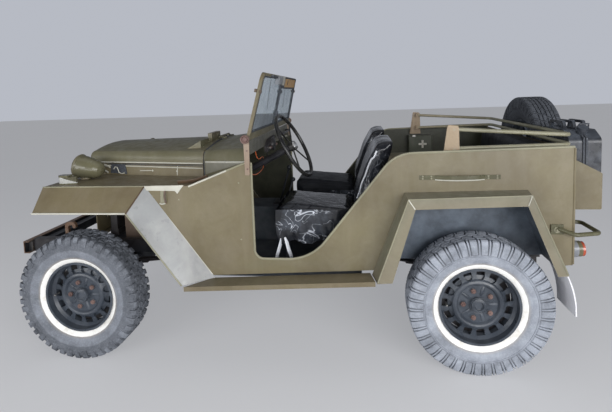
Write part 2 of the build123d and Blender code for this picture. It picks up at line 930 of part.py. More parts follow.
# Front fenders
def fender():
    """Left front fender: flat top, sloped flap, apron, splash panel and inner wing."""
    top = top_plate(
        [
            (fender_front_x, grille_half + 2, 0),
            (fender_front_x, body_half_width, 0),
            (seam_x, body_half_width, 0),
            (seam_x, splash_inner_y - 5, 0),
            (nose_x + 20, grille_half - 20, 0),
            (nose_x + 20, grille_half + 2, 0),
        ],
        fender_top_z - sheet,
        fender_top_z,
    )
    inside = (front_x, 0, 600)
    flap_front = fender_front_x - 8
    flap_rear = fender_break_x + 60
    flap = plate(
        [
            (fender_break_x, body_half_width, fender_top_z),
            (fender_front_x, body_half_width, fender_top_z),
            (flap_front, flare_half_width, flap_bottom_z),
            (flap_rear, flare_half_width, flap_bottom_z),
        ],
        sheet,
        inside,
    )
    run = apron_run
    apron_low_z = sill_front_z - 15
    apron = plate(
        [
            (fender_break_x, body_half_width, fender_top_z),
            (flap_rear, flare_half_width, flap_bottom_z),
            (flap_rear - run * (flap_bottom_z - apron_low_z), flare_half_width, apron_low_z),
            (apron_foot_x - run * 15, body_half_width, apron_low_z),
        ],
        sheet,
        (front_x, body_half_width - 60, 400),
    )
    splash = plate(
        [
            (fender_break_x, body_half_width, fender_top_z),
            (fender_break_x, splash_inner_y, fender_top_z),
            (apron_foot_x, splash_inner_y, sill_front_z),
            (apron_foot_x, body_half_width, sill_front_z),
        ],
        sheet,
        (front_x, 500, 500),
    )
    wing_low = 760
    wing_rear = fender_break_x - run * (fender_top_z - wing_low)
    wing = plate(
        [
            (nose_x, hood_half(nose_x), wing_low),
            (nose_x, hood_half(nose_x), fender_top_z),
            (fender_break_x, hood_half(fender_break_x), fender_top_z),
            (wing_rear, hood_half(wing_rear), wing_low),
        ],
        sheet,
        (front_x, 0, 800),
    )
    lip = block(
        (fender_front_x - sheet, fender_front_x),
        (grille_half + 2, body_half_width),
        (fender_top_z - 28, fender_top_z),
    )
    return top + flap + apron + splash + wing + lip


save("fender_left", fender())
save("fender_right", mirrored(fender()))


# Running boards
def running_board():
    """A sloped step below the door, with a turned-down outer edge."""
    drop = 22
    front = apron_foot_x + 135
    fall = (sill_rear_z - sill_front_z) / (apron_foot_x - arch_at_body["front_foot"])
    # the rear end follows the flare's slanted foot
    rear_in = arch_at_body["front_foot"] + 10
    rear_out = arch_at_lip["front_foot"] + 10
    front_z = sill_front_z - drop
    foot_z = front_z + fall * (front - apron_foot_x)
    inner = body_half_width
    outer = flare_half_width
    rear_in_z = front_z + fall * (front - rear_in)
    rear_out_z = front_z + fall * (front - rear_out)
    top = plate(
        [
            (front, outer, front_z),
            (apron_foot_x, inner, foot_z),
            (rear_in, inner, rear_in_z),
            (rear_out, outer, rear_out_z),
        ],
        sheet,
        (1000, 800, 0),
    )
    edge = plate(
        [
            (front, outer, front_z),
            (rear_out, outer, rear_out_z),
            (rear_out, outer, rear_out_z - 26),
            (front, outer, front_z - 26),
        ],
        sheet,
        (1000, 0, 500),
    )
    return top + edge


save("running_boards", both_sides(running_board() - fender()))


# Floor
toe_top_z = 650
toe_lap = 2
tunnel_rear_x = post_x - 240
tunnel_front_x = seam_x - hood_gap / 2 - 11
floor_half = body_half_width - sheet


def front_floor():
    """The floor under the front seats and the leaning toe board, open for the tunnel."""
    low = floor_top_z - sheet
    shape = block((riser_x, apron_foot_x), (-floor_half, floor_half), (low, floor_top_z))
    toe_rise = (toe_top_z - floor_top_z) / (tunnel_front_x - apron_foot_x)
    toe_foot = (apron_foot_x - toe_lap, floor_top_z - toe_lap * toe_rise)
    shape += plate(
        [
            (toe_foot[0], -splash_inner_y, toe_foot[1]),
            (toe_foot[0], splash_inner_y, toe_foot[1]),
            (tunnel_front_x, splash_inner_y, toe_top_z),
            (tunnel_front_x, -splash_inner_y, toe_top_z),
        ],
        sheet,
        (post_x, 0, 900),
    )
    cut = (tunnel_rear_x, tunnel_front_x + 20), (-tunnel_half, tunnel_half), (0, tunnel_top_z)
    return shape - block(*cut)


def tunnel():
    """The cover over the gearbox, open below and at its front end."""
    low = floor_top_z - sheet
    cover = block(
        (tunnel_rear_x, tunnel_front_x), (-tunnel_half, tunnel_half), (low, tunnel_top_z)
    )
    hollow = block(
        (tunnel_rear_x + sheet, tunnel_front_x + 5),
        (sheet - tunnel_half, tunnel_half - sheet),
        (low - 5, tunnel_top_z - sheet),
    )
    return cover - hollow


def rear_floor():
    """The raised floor over the rear axle and the riser in front of it."""
    low = rear_floor_top_z - sheet
    riser = block(
        (riser_x - sheet, riser_x), (-floor_half, floor_half), (floor_top_z - sheet, rear_floor_top_z)
    )
    deck = block((tub_rear_x + sheet, riser_x), (-floor_half, floor_half), (low, rear_floor_top_z))
    box = arch_prism(arch_at_body, wheel_box_y, body_half_width, drop=90)
    return riser + (deck - box - mirrored(box))


save("front_floor", front_floor())
save("tunnel", tunnel())
save("rear_floor", rear_floor())


# Rear panel
def rear_panel():
    """The upright panel that closes the tub's back."""
    half = body_half_width - sheet
    rows = [
        (-half, rear_panel_bottom_z, 0),
        (half, rear_panel_bottom_z, 0),
        (half, rail_rear_z - 18, 0),
        (-half, rail_rear_z - 18, 0),
    ]
    return cross_plate(rows, tub_rear_x, tub_rear_x + sheet)


save("rear_panel", rear_panel())


# Windshield
shield_place = Pos(post_x, 0, pivot_z) * Rot(0, -shield_rake, 0)


def windshield_frame():
    """A frame of bars with rounded top corners, a centre bar and pivot pins."""
    low = -12
    taper = (pivot_half_width - shield_top_half_width) / shield_height
    wide = pivot_half_width
    outer = [
        (-wide, low, 0),
        (wide, low, 0),
        (shield_top_half_width, shield_height, 62),
        (-shield_top_half_width, shield_height, 62),
    ]
    inner_low = wide - shield_bar - taper * shield_rail_top
    inner_high = shield_top_half_width - shield_bar
    inner_top = shield_height - shield_bar
    inner = [
        (-inner_low, shield_rail_top, 10),
        (inner_low, shield_rail_top, 10),
        (inner_high, inner_top, 36),
        (-inner_high, inner_top, 36),
    ]
    half_depth = shield_depth / 2
    bar_half = shield_centre_bar / 2
    shape = cross_plate(outer, -half_depth, half_depth)
    shape -= cross_plate(inner, -half_depth - 1, half_depth + 1)
    shape += block((-half_depth, half_depth), (-bar_half, bar_half), (shield_rail_top - 1, inner_top + 1))
    for side in (-1, 1):
        ear_in = side * (wide - 3)
        pin_end = side * (body_half_width + 22)
        shape += rod((0, ear_in, 0), (0, side * (body_half_width - clearance), 0), 17)
        shape += rod((0, ear_in, 0), (0, pin_end, 0), 8)
        shape += rod((0, side * (body_half_width + 14), 0), (0, side * (body_half_width + 27), 0), 20)
    return shape


def windshield_glass():
    """Two panes that fill the frame's openings."""
    taper = (pivot_half_width - shield_top_half_width) / shield_height
    low_half = pivot_half_width - shield_bar - taper * shield_rail_top
    high_half = shield_top_half_width - shield_bar
    top = shield_height - shield_bar
    bar_half = shield_centre_bar / 2
    rows = [
        (bar_half, shield_rail_top, 0),
        (low_half, shield_rail_top, 10),
        (high_half, top, 36),
        (bar_half, top, 0),
    ]
    return both_sides(cross_plate(rows, -glass_thickness / 2, glass_thickness / 2))


save("windshield_frame", shield_place * windshield_frame())
save("windshield_glass", shield_place * windshield_glass())


def hinge_brackets():
    """Straps on the outside of the body that hold the windshield's pivot pins."""
    rows = [
        (post_x - 12, 1095, 5),
        (post_x + 14, 1095, 5),
        (post_x + 16, pivot_z + 18, 15),
        (post_x - 18, pivot_z + 18, 15),
    ]
    strap = side_plate(rows, body_half_width, body_half_width + 9)
    bore = rod(
        (post_x, body_half_width - 5, pivot_z), (post_x, body_half_width + 15, pivot_z),
        8 + running_clearance,
    )
    return both_sides(strap - bore)


save("hinge_brackets", hinge_brackets())


# Steering wheel and column
steering_turn = Plane(origin=steering_centre, z_dir=column_dir, x_dir=column_across)
spoke_count = 4


def steering_wheel():
    """A thin rim, wire spokes, a hub and the shaft inside the column."""
    shape = Torus(steering_wheel_radius, steering_rim_radius)
    shape += Pos(0, 0, 14) * Cylinder(32, 30)
    for index in range(spoke_count):
        angle = radians(360 / spoke_count * (index + 0.5))
        end = (steering_wheel_radius * cos(angle), steering_wheel_radius * sin(angle), 0)
        shape += rod((20 * cos(angle), 20 * sin(angle), 14), end, 5)
    shape += rod((0, 0, 20), (0, 0, 160), shaft_radius)
    return steering_turn * shape


def steering_column():
    """The column's tube down to the steering box on the left rail."""
    column_start = 29 + clearance
    box_x = front_x - 350
    reach = (box_x - steering_centre.X) / column_dir.X
    shape = rod((0, 0, column_start), (0, 0, reach), column_radius)
    bore = rod((0, 0, column_start - 1), (0, 0, 170), shaft_radius + running_clearance)
    shape = steering_turn * (shape - bore)
    end = point_on_column(reach)
    shape += block(
        (box_x - 60, box_x + 60), (end.Y - 32, rail_y + 10),
        (rail_high_z + rail_height, end.Z + 40),
    )
    return shape


save("steering_wheel", steering_wheel())
save("steering_column", steering_column())


# Seats
seat_y = 370
seat_width = 480
seat_back_x = 556
seat_back_z = 862


def front_cushion(side):
    """A plain cushion block, its corners rounded."""
    low = 735
    rows = [
        (640, low, 20),
        (1095, low, 25),
        (1118, 885, 40),
        (660, 842, 30),
    ]
    middle = side * seat_y
    return side_plate(rows, middle - seat_width / 2, middle + seat_width / 2)


def front_back(side):
    """A leaning back-rest with a rounded top."""
    rows = [
        (seat_back_x, seat_back_z, 25),
        (seat_back_x + 105, seat_back_z, 25),
        (seat_back_x + 8, 1150, 160),
        (seat_back_x - 52, 1256, 45),
        (seat_back_x - 155, 1258, 50),
    ]
    middle = side * seat_y
    return side_plate(rows, middle - seat_width / 2 + 10, middle + seat_width / 2 - 10)


save("front_seat_cushions", group(front_cushion(1), front_cushion(-1)))
save("front_seat_backs", group(front_back(1), front_back(-1)))

rear_seat_half = wheel_box_y - 20


def rear_cushion():
    """The rear bench's cushion between the wheel boxes."""
    rows = [(-330, 790, 20), (110, 790, 30), (120, 880, 40), (-320, 880, 30)]
    return side_plate(rows, -rear_seat_half, rear_seat_half)


def rear_back():
    """The rear bench's back-rest, in front of the rear panel."""
    rows = [(-430, 885, 20), (-335, 885, 20), (-375, 1215, 40), (-465, 1225, 35)]
    return side_plate(rows, -rear_seat_half, rear_seat_half)


save("rear_seat_cushion", rear_cushion())
save("rear_seat_back", rear_back())


def seat_frames():
    """Tube frames with legs under the front seats."""
    leg_radius = 10
    pieces = []
    seat_low = 735
    for side in (-1, 1):
        middle = side * seat_y
        y_low = middle - seat_width / 2 + 30
        y_high = middle + seat_width / 2 - 30
        ring_z = seat_low - 12
        frame = None
        for y in (y_low, y_high):
            bar = block((650, 1080), (y - 10, y + 10), (ring_z - 8, seat_low))
            frame = bar if frame is None else frame + bar
            for x in (700, 1060):
                frame += rod((x, y, floor_top_z), (x, y, ring_z), leg_radius)
            arm = plate_bar(y)
            frame += arm
        for x in (660, 1070):
            frame += block((x - 10, x + 10), (y_low, y_high), (ring_z - 8, seat_low))
        pieces.append(frame)
    return group(*pieces)


def rear_bench_box():
    """The hollow box under the rear bench."""
    half = rear_seat_half - 35
    top = 790
    box = block((-440, 100), (-half, half), (rear_floor_top_z, top))
    hollow = block(
        (sheet - 440, 100 - sheet), (sheet - half, half - sheet), (rear_floor_top_z - 5, top - sheet)
    )
    return box - hollow


def plate_bar(y):
    """One upright of a front seat's back, behind the back-rest."""
    rows = [
        (600, 715, 0), (655, 715, 0), (655, 733, 0), (632, 733, 0),
        (seat_back_x - 4, seat_back_z, 0), (seat_back_x - 31, seat_back_z + 68, 0),
        (seat_back_x - 46, seat_back_z + 62, 0), (seat_back_x - 18, seat_back_z - 8, 0),
    ]
    return side_plate(rows, y - 8, y + 8)


save("seat_frames", seat_frames())
save("rear_bench_box", rear_bench_box())


# Lamps
lamp_x = front_x + 100
lamp_y = 484
lamp_z = 1111
lamp_tilt = 12
lamp_place = Pos(lamp_x, lamp_y, lamp_z) * Rot(0, -lamp_tilt, 0)
lamp_seat = 40
marker_front_x = front_x + 166
marker_rear_x = front_x + 52
marker_y = 640


def headlight():
    """A bullet-shaped lamp shell with a rim bead, tipped up a little on a short foot."""
    # along the lamp forward of its middle, radius
    profile = [(-128, 0), (-124, 25), (-110, 43), (-84, 57), (-40, 67), (0, 72.5), (24, 73.5)]
    profile += [(28, 76), (44, 76), (50, 72), (50, 66), (lamp_seat, 64), (lamp_seat, 0)]
    shell = revolve(make_face(Polyline(*profile, close=True)), axis=Axis.X)
    foot = rod((lamp_x, lamp_y, fender_top_z), (lamp_x, lamp_y, lamp_z), 26)
    return lamp_place * shell + foot


def headlight_lens():
    """A shallow domed lens in the lamp's rim."""
    seat = lamp_seat
    profile = [(seat, 0), (seat, 63), (seat + 6, 63), (seat + 13, 40), (seat + 16, 0)]
    return lamp_place * revolve(make_face(Polyline(*profile, close=True)), axis=Axis.X)


def marker_outline(grow):
    """The marker lamp from above: blunt in front, narrow at its tail."""
    waist = marker_front_x - 60
    return [
        (marker_front_x + grow, marker_y + 24 + grow, 22),
        (marker_front_x + grow, marker_y - 24 - grow, 22),
        (waist, marker_y - 26 - grow, 30),
        (marker_rear_x - grow, marker_y - 8, 7),
        (marker_rear_x - grow, marker_y + 8, 7),
        (waist, marker_y + 26 + grow, 30),
    ]


marker_base = 6
marker_lens_z = (fender_top_z + marker_base, fender_top_z + 44)


def marker_lamp():
    """A low lamp on the fender: a thin base and a cap held up by its inner wall."""
    base = top_plate(marker_outline(2), fender_top_z, marker_lens_z[0])
    cap = top_plate(marker_outline(1), marker_lens_z[1], marker_lens_z[1] + 11)
    cap -= block((marker_rear_x - 20, marker_front_x - 68), (500, 800), (1000, 1200))
    wall = block(
        (marker_front_x - 60, marker_front_x - 20), (marker_y - 36, marker_y - 26),
        (marker_lens_z[0] - 2, marker_lens_z[1] + 2),
    )
    return base + cap + wall


def marker_lens():
    """The marker lamp's pale cover between its base and cap."""
    inner_wall = block(
        (marker_rear_x - 20, marker_front_x + 20), (marker_y - 60, marker_y - 26), (1000, 1200)
    )
    return top_plate(marker_outline(0), *marker_lens_z) - inner_wall


tail_y = body_half_width - 100
tail_z = 648


def tail_lamp():
    """A round lamp body behind the rear panel."""
    return rod((tub_rear_x, tail_y, tail_z), (tub_rear_x - 78, tail_y, tail_z), 42)


def tail_lens():
    """The tail lamp's red lens."""
    return rod((tub_rear_x - 78, tail_y, tail_z), (tub_rear_x - 92, tail_y, tail_z), 40)


save("lamp_shells", group(*[both_sides(s) for s in (headlight(), marker_lamp(), tail_lamp())]))
save("lamp_lenses", group(*[both_sides(s) for s in (headlight_lens(), marker_lens(), tail_lens())]))


# Soft-top bows
def bow_brackets():
    """A plate inside each body side that holds the two bow pivots."""
    inner = bow_half_width + 22
    rows = [
        (bow_pivot_x - 28, 1160, 4),
        (bow_pivot_x + 62, 1160, 4),
        (bow_pivot_x + 34, 1348, 10),
        (bow_pivot_x - 24, 1342, 16),
    ]
    strap = side_plate(rows, inner, inner + 8)
    foot = block((bow_pivot_x - 26, bow_pivot_x + 60), (inner + 7, body_half_width - sheet), (1162, 1190))
    shape = strap + foot
    for z in (bow_upper_z, bow_lower_z):
        bore = rod((bow_pivot_x, inner - 3, z), (bow_pivot_x, inner + 12, z), 7 + running_clearance)
        shape -= bore
    return both_sides(shape)


def bow(pivot_z_here, fall):
    """A hoop of tube, hinged at both ends and folded down to the rear."""
    half = bow_half_width
    end_x = bow_pivot_x - bow_reach
    end_z = pivot_z_here + fall
    points = [
        (bow_pivot_x, half, pivot_z_here),
        (end_x, half, end_z),
        (end_x, -half, end_z),
        (bow_pivot_x, -half, pivot_z_here),
    ]
    shape = tube(points, bow_bend, bow_tube / 2)
    for side in (-1, 1):
        inner = side * (half - 8)
        outer = side * (half + 17)
        shape += rod((bow_pivot_x, inner, pivot_z_here), (bow_pivot_x, outer, pivot_z_here), 15)
        pin_end = side * (half + 30)
        shape += rod((bow_pivot_x, inner, pivot_z_here), (bow_pivot_x, pin_end, pivot_z_here), 7)
    return shape


save("bow_brackets", bow_brackets())
save("bow_upper", bow(bow_upper_z, -44))
save("bow_lower", bow(bow_lower_z, 11))

# Fuel can and its carrier
can_y = (262, 602)
can_x = (-677, -512)
can_z = (872, 1246)


def jerry_can():
    """A flat-sided can with a sloped shoulder, three handles and a spout cap."""
    rows = [
        (can_y[0], can_z[0], 25),
        (can_y[1], can_z[0], 25),
        (can_y[1], can_z[1], 40),
        (can_y[1] - 70, can_z[1] + 45, 30),
        (can_y[0], can_z[1] + 45, 30),
    ]
    shape = cross_plate(rows, *can_x)
    handle_low = can_z[1] + 45
    for x in (can_x[0] + 30, can_x[0] + 82, can_x[0] + 134):
        handle = cross_plate(
            [
                (can_y[0] + 40, handle_low - 2, 0),
                (can_y[1] - 110, handle_low - 2, 0),
                (can_y[1] - 130, handle_low + 45, 15),
                (can_y[0] + 60, handle_low + 45, 15),
            ],
            x - 8,
            x + 8,
        )
        handle -= cross_plate(
            [
                (can_y[0] + 62, handle_low - 3, 0),
                (can_y[1] - 132, handle_low - 3, 0),
                (can_y[1] - 146, handle_low + 30, 8),
                (can_y[0] + 74, handle_low + 30, 8),
            ],
            x - 9,
            x + 9,
        )
        shape += handle
    spout_x = (can_x[0] + can_x[1]) / 2
    shape += rod((spout_x, can_y[1] - 60, can_z[1]), (spout_x, can_y[1] - 25, can_z[1] + 62), 26)
    return shape


def can_carrier():
    """An open tray on the rear panel that holds the can."""
    gap = 2
    low = can_z[0] - sheet
    outer_x = can_x[0] - gap - sheet
    side_rows = [
        (outer_x, low - 10, 8),
        (tub_rear_x, low - 10, 0),
        (tub_rear_x, 1150, 0),
        (-549, 1131, 0),
        (outer_x, 1058, 8),
    ]
    left = side_plate(side_rows, can_y[1] + gap, can_y[1] + gap + sheet)
    right = side_plate(side_rows, can_y[0] - gap - sheet, can_y[0] - gap)
    floor_plate = block(
        (outer_x + 1, tub_rear_x), (can_y[0] - gap - 1, can_y[1] + gap + 1), (low, low + sheet)
    )
    back = block(
        (outer_x, outer_x + sheet), (can_y[0] - gap - 1, can_y[1] + gap + 1), (low, 960)
    )
    return left + right + floor_plate + back


save("jerry_can", jerry_can())
save("can_carrier", can_carrier())


# Spare wheel carrier
def spare_carrier():
    """A stub from the rear panel to the spare wheel's disc."""
    disc_face = spare_x - 15
    shape = rod((tub_rear_x, spare_y, spare_z), (disc_face, spare_y, spare_z), 60)
    plate_piece = block(
        (tub_rear_x - 8, tub_rear_x), (spare_y - 120, spare_y + 120), (spare_z - 110, spare_z + 110)
    )
    return shape + plate_piece


save("spare_carrier", spare_carrier())


# Handles and small fittings
def grab_handles():
    """Bowed strips on the body's sides and tube loops at its rear corners."""
    z_low = 1058
    z_high = 1082
    near = body_half_width
    thick = 4
    rear_x = -117
    front_x_strip = 299
    pad = 80
    rise = 30
    middle_x = (rear_x + front_x_strip) / 2
    strip = [
        Line((rear_x, near), (rear_x + pad, near)),
        ThreePointArc(
            (rear_x + pad, near), (middle_x, near + rise), (front_x_strip - pad, near)
        ),
        Line((front_x_strip - pad, near), (front_x_strip, near)),
        Line((front_x_strip, near), (front_x_strip, near + thick)),
        Line((front_x_strip, near + thick), (front_x_strip - pad + 2, near + thick)),
        ThreePointArc(
            (front_x_strip - pad + 2, near + thick), (middle_x, near + rise + thick),
            (rear_x + pad - 2, near + thick),
        ),
        Line((rear_x + pad - 2, near + thick), (rear_x, near + thick)),
        Line((rear_x, near + thick), (rear_x, near)),
    ]
    side = Pos(0, 0, z_low) * extrude(make_face(strip), amount=z_high - z_low)
    loop_z = 775
    loop = tube(
        [
            (-402, body_half_width + 10, loop_z + 20),
            (-470, body_half_width + 52, loop_z),
            (-600, body_half_width + 20, loop_z),
            (-600, 560, loop_z),
            (tub_rear_x, 560, loop_z),
        ],
        28,
        11,
    )
    pad = block((-430, -368), (body_half_width, body_half_width + 8), (loop_z - 12, loop_z + 40))
    loop = (loop + pad) - block((-480, -380), (600, body_half_width), (700, 900))
    return both_sides(group(side, loop))


save("grab_handles", grab_handles())


def first_aid_box():
    """A flat box on the inside of the right body side."""
    y_out = body_half_width - sheet
    return block((-12, 186), (-y_out, 66 - y_out), (997, 1150))


save("first_aid_box", first_aid_box())


def mud_flap():
    """A curved flap behind the left rear wheel, hung from the wheel box."""
    thick = 6
    top_x = arch_at_body["rear_foot"]
    top_z = arch_rear_foot_z
    foot_x = top_x - 44
    foot_z = 372
    middle = (top_x - 34, 480)
    edges = [
        ThreePointArc((top_x - thick, top_z), (middle[0] - thick, middle[1]), (foot_x - thick, foot_z)),
        Line((foot_x - thick, foot_z), (foot_x, foot_z)),
        ThreePointArc((foot_x, foot_z), middle, (top_x, top_z)),
        Line((top_x, top_z), (top_x - thick, top_z)),
    ]
    flap = extrude(make_face(edges), amount=200)
    return Pos(0, flare_half_width - 2, 0) * Rot(90, 0, 0) * flap - wheel_box()


save("mud_flaps", both_sides(mud_flap()))


def control_levers():
    """Gear levers in their boot plate on the tunnel."""
    base_x = post_x - 60
    shape = block((base_x - 60, base_x + 60), (-60, 60), (tunnel_top_z, tunnel_top_z + 14))
    # lever: start x, start y, end x, end y, end z
    for x0, y0, x1, y1, z1 in ((20, 0, -60, 30, 1010), (-20, -40, -70, -70, 900)):
        start = (base_x + x0, y0, tunnel_top_z + 5)
        end = (base_x + x1, y1, z1)
        shape += rod(start, end, 7)
        shape += Pos(*end) * Sphere(17)
    return shape


save("control_levers", control_levers())


def exhaust():
    """Silencer and pipe under the floor on the right."""
    y = -240
    z = rail_low_z - 20
    down_x = front_x - 500
    pipe_points = [
        (down_x, -205, 660), (down_x, y, 660), (down_x - 60, y, 480),
        (down_x - 330, y, z), (1090, y, z),
    ]
    pipe = tube(pipe_points, 20, 16)
    silencer = rod((1100, y, z), (730, y, z), 50)
    tail = tube([(740, y, z), (350, y, z), (250, y, z - 20)], 60, 16)
    return pipe + silencer + tail


save("exhaust", exhaust())
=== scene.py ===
import json
from math import cos, exp, pi, radians, sin, tan
import bpy
import bmesh
from mathutils import Matrix, Vector


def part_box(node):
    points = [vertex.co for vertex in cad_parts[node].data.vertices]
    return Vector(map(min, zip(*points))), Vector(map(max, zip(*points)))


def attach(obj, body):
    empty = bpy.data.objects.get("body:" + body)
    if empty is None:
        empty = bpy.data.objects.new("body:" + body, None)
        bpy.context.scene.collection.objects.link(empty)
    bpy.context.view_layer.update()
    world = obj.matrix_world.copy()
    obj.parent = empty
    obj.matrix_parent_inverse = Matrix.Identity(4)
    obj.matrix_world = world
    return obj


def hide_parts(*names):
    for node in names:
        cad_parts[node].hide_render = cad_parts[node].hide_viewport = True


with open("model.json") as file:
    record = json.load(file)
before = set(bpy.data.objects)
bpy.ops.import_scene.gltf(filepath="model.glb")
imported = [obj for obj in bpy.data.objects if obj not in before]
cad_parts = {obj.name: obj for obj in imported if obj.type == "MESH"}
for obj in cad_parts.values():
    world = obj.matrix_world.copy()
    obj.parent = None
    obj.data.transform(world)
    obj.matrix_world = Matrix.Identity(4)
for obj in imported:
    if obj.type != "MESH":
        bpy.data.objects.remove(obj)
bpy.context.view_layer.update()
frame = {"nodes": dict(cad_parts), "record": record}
cad_nodes = frame["nodes"]
rear_axle_x = -1.12


def car(x, y, z):
    """A place in the shared frame from one counted from the rear axle."""
    return Vector((x + rear_axle_x, y, z))


# Camera, solved from the photograph: metres and radians
def add_camera():
    """The photograph's camera, with its frame moved down by the lens shift."""
    yaw, pitch, roll = 0.1222, 0.0888, -0.0351
    forward = Vector((sin(yaw) * cos(pitch), -cos(yaw) * cos(pitch), -sin(pitch)))
    right = forward.cross(Vector((0, 0, 1))).normalized()
    above = right.cross(forward)
    turned_right = right * cos(roll) + above * sin(roll)
    turned_above = above * cos(roll) - right * sin(roll)
    data = bpy.data.cameras.new("camera")
    data.sensor_width = 36
    data.lens = 24.616
    data.shift_y = -0.1239
    data.clip_start, data.clip_end = 0.05, 60
    camera = bpy.data.objects.new("camera", data)
    rows = Matrix((turned_right, turned_above, -forward)).transposed().to_4x4()
    camera.matrix_world = Matrix.Translation((-0.4954, 3.0038, 1.5449)) @ rows
    bpy.context.scene.collection.objects.link(camera)
    bpy.context.scene.camera = camera


add_camera()


# Finishes
class Finish:
    """A procedural material, or the world's tree, with short calls that add and join nodes."""

    def __init__(self, name, tree=None, coordinates="Object"):
        if tree is None:
            self.material = bpy.data.materials.new(name)
            self.material.use_nodes = True
            tree = self.material.node_tree
        self.tree = tree
        self.tree.nodes.clear()
        self.coordinates = self.add("ShaderNodeTexCoord").outputs[coordinates]

    def add(self, kind, inputs=None, **settings):
        """A node with its settings, and its input sockets by name or number."""
        node = self.tree.nodes.new(kind)
        for key, value in settings.items():
            setattr(node, key, value)
        for key, value in (inputs or {}).items():
            self.set(node, key, value)
        return node

    def set(self, node, key, value):
        """A socket takes a number or colour, or is joined to another node's output."""
        socket = node.inputs[key]
        if isinstance(value, bpy.types.NodeSocket):
            self.tree.links.new(value, socket)
        elif isinstance(value, (tuple, list)) and len(value) == 3 and socket.type == "RGBA":
            socket.default_value = (*value, 1)
        else:
            socket.default_value = value

    def noise(self, scale, detail=4.0, roughness=0.55, distortion=0.0, stretch=None):
        """Noise; stretch scales the coordinates by a different amount on each axis."""
        place = self.coordinates
        if stretch:
            place = self.add("ShaderNodeMapping", {"Vector": place, "Scale": stretch}).outputs["Vector"]
        inputs = {"Vector": place, "Scale": scale, "Detail": detail, "Roughness": roughness}
        return self.add("ShaderNodeTexNoise", {**inputs, "Distortion": distortion}).outputs["Fac"]

    def cells(self, scale):
        inputs = {"Vector": self.coordinates, "Scale": scale}
        return self.add("ShaderNodeTexVoronoi", inputs).outputs["Distance"]

    def ribs(self, scale):
        inputs = {"Vector": self.coordinates, "Scale": scale}
        return self.add("ShaderNodeTexWave", inputs, bands_direction="Y").outputs["Fac"]

    def ramp(self, value, low, high, start=0.0, end=1.0):
        """A number mapped from low..high to start..end, held at both ends."""
        inputs = {"Value": value, "From Min": low, "From Max": high, "To Min": start, "To Max": end}
        return self.add("ShaderNodeMapRange", inputs).outputs["Result"]

    def maths(self, operation, first, second=0.0):
        return self.add("ShaderNodeMath", {0: first, 1: second}, operation=operation).outputs["Value"]

    def times(self, first, second):
        return self.maths("MULTIPLY", first, second)

    def off_half(self, value):
        """How far a number is from a half."""
        return self.maths("ABSOLUTE", self.maths("SUBTRACT", value, 0.5))

    def mix(self, share, first, second):
        inputs = {"Factor": share, 6: self.colour(first), 7: self.colour(second)}
        return self.add("ShaderNodeMix", inputs, data_type="RGBA").outputs[2]

    def colour(self, value):
        if isinstance(value, bpy.types.NodeSocket):
            return value
        node = self.add("ShaderNodeRGB")
        node.outputs["Color"].default_value = (*value, 1)
        return node.outputs["Color"]

    def axis(self, name):
        return self.add("ShaderNodeSeparateXYZ", {"Vector": self.coordinates}).outputs[name]

    def geometry(self, name):
        return self.add("ShaderNodeNewGeometry").outputs[name]

    def facing_up(self):
        """How far a surface faces up, from -1 to 1."""
        return self.add("ShaderNodeSeparateXYZ", {"Vector": self.geometry("Normal")}).outputs["Z"]

    def faces_place(self, x, y, z):
        """1 where a surface faces a place, taken on the surface's own side of the car."""
        side = self.times(self.maths("SIGN", self.axis("Y")), y)
        place = self.add("ShaderNodeCombineXYZ", {"X": x, "Y": side, "Z": z}).outputs["Vector"]
        away = self.add("ShaderNodeVectorMath", {0: place, 1: self.coordinates}, operation="SUBTRACT")
        inputs = {0: away.outputs["Vector"], 1: self.geometry("True Normal")}
        share = self.add("ShaderNodeVectorMath", inputs, operation="DOT_PRODUCT")
        return self.maths("GREATER_THAN", share.outputs["Value"], 0.0)

    def bump(self, height, strength, distance, normal=None):
        inputs = {"Strength": strength, "Distance": distance, "Height": height}
        if normal is not None:
            inputs["Normal"] = normal
        return self.add("ShaderNodeBump", inputs).outputs["Normal"]

    def surface(self, colour, roughness, normal=None, **constants):
        """The material, from a shader with its base colour, roughness, normal and constants."""
        inputs = {key.replace("_", " "): value for key, value in constants.items()}
        inputs.update({"Base Color": colour, "Roughness": roughness})
        if normal is not None:
            inputs["Normal"] = normal
        shader = self.add("ShaderNodeBsdfPrincipled", inputs)
        self.add("ShaderNodeOutputMaterial", {"Surface": shader.outputs["BSDF"]})
        return self.material

    def blend(self, share, first, second):
        """Two shaders mixed by a share."""
        inputs = {0: share, 1: first.outputs[0], 2: second.outputs[0]}
        return self.add("ShaderNodeMixShader", inputs).outputs["Shader"]


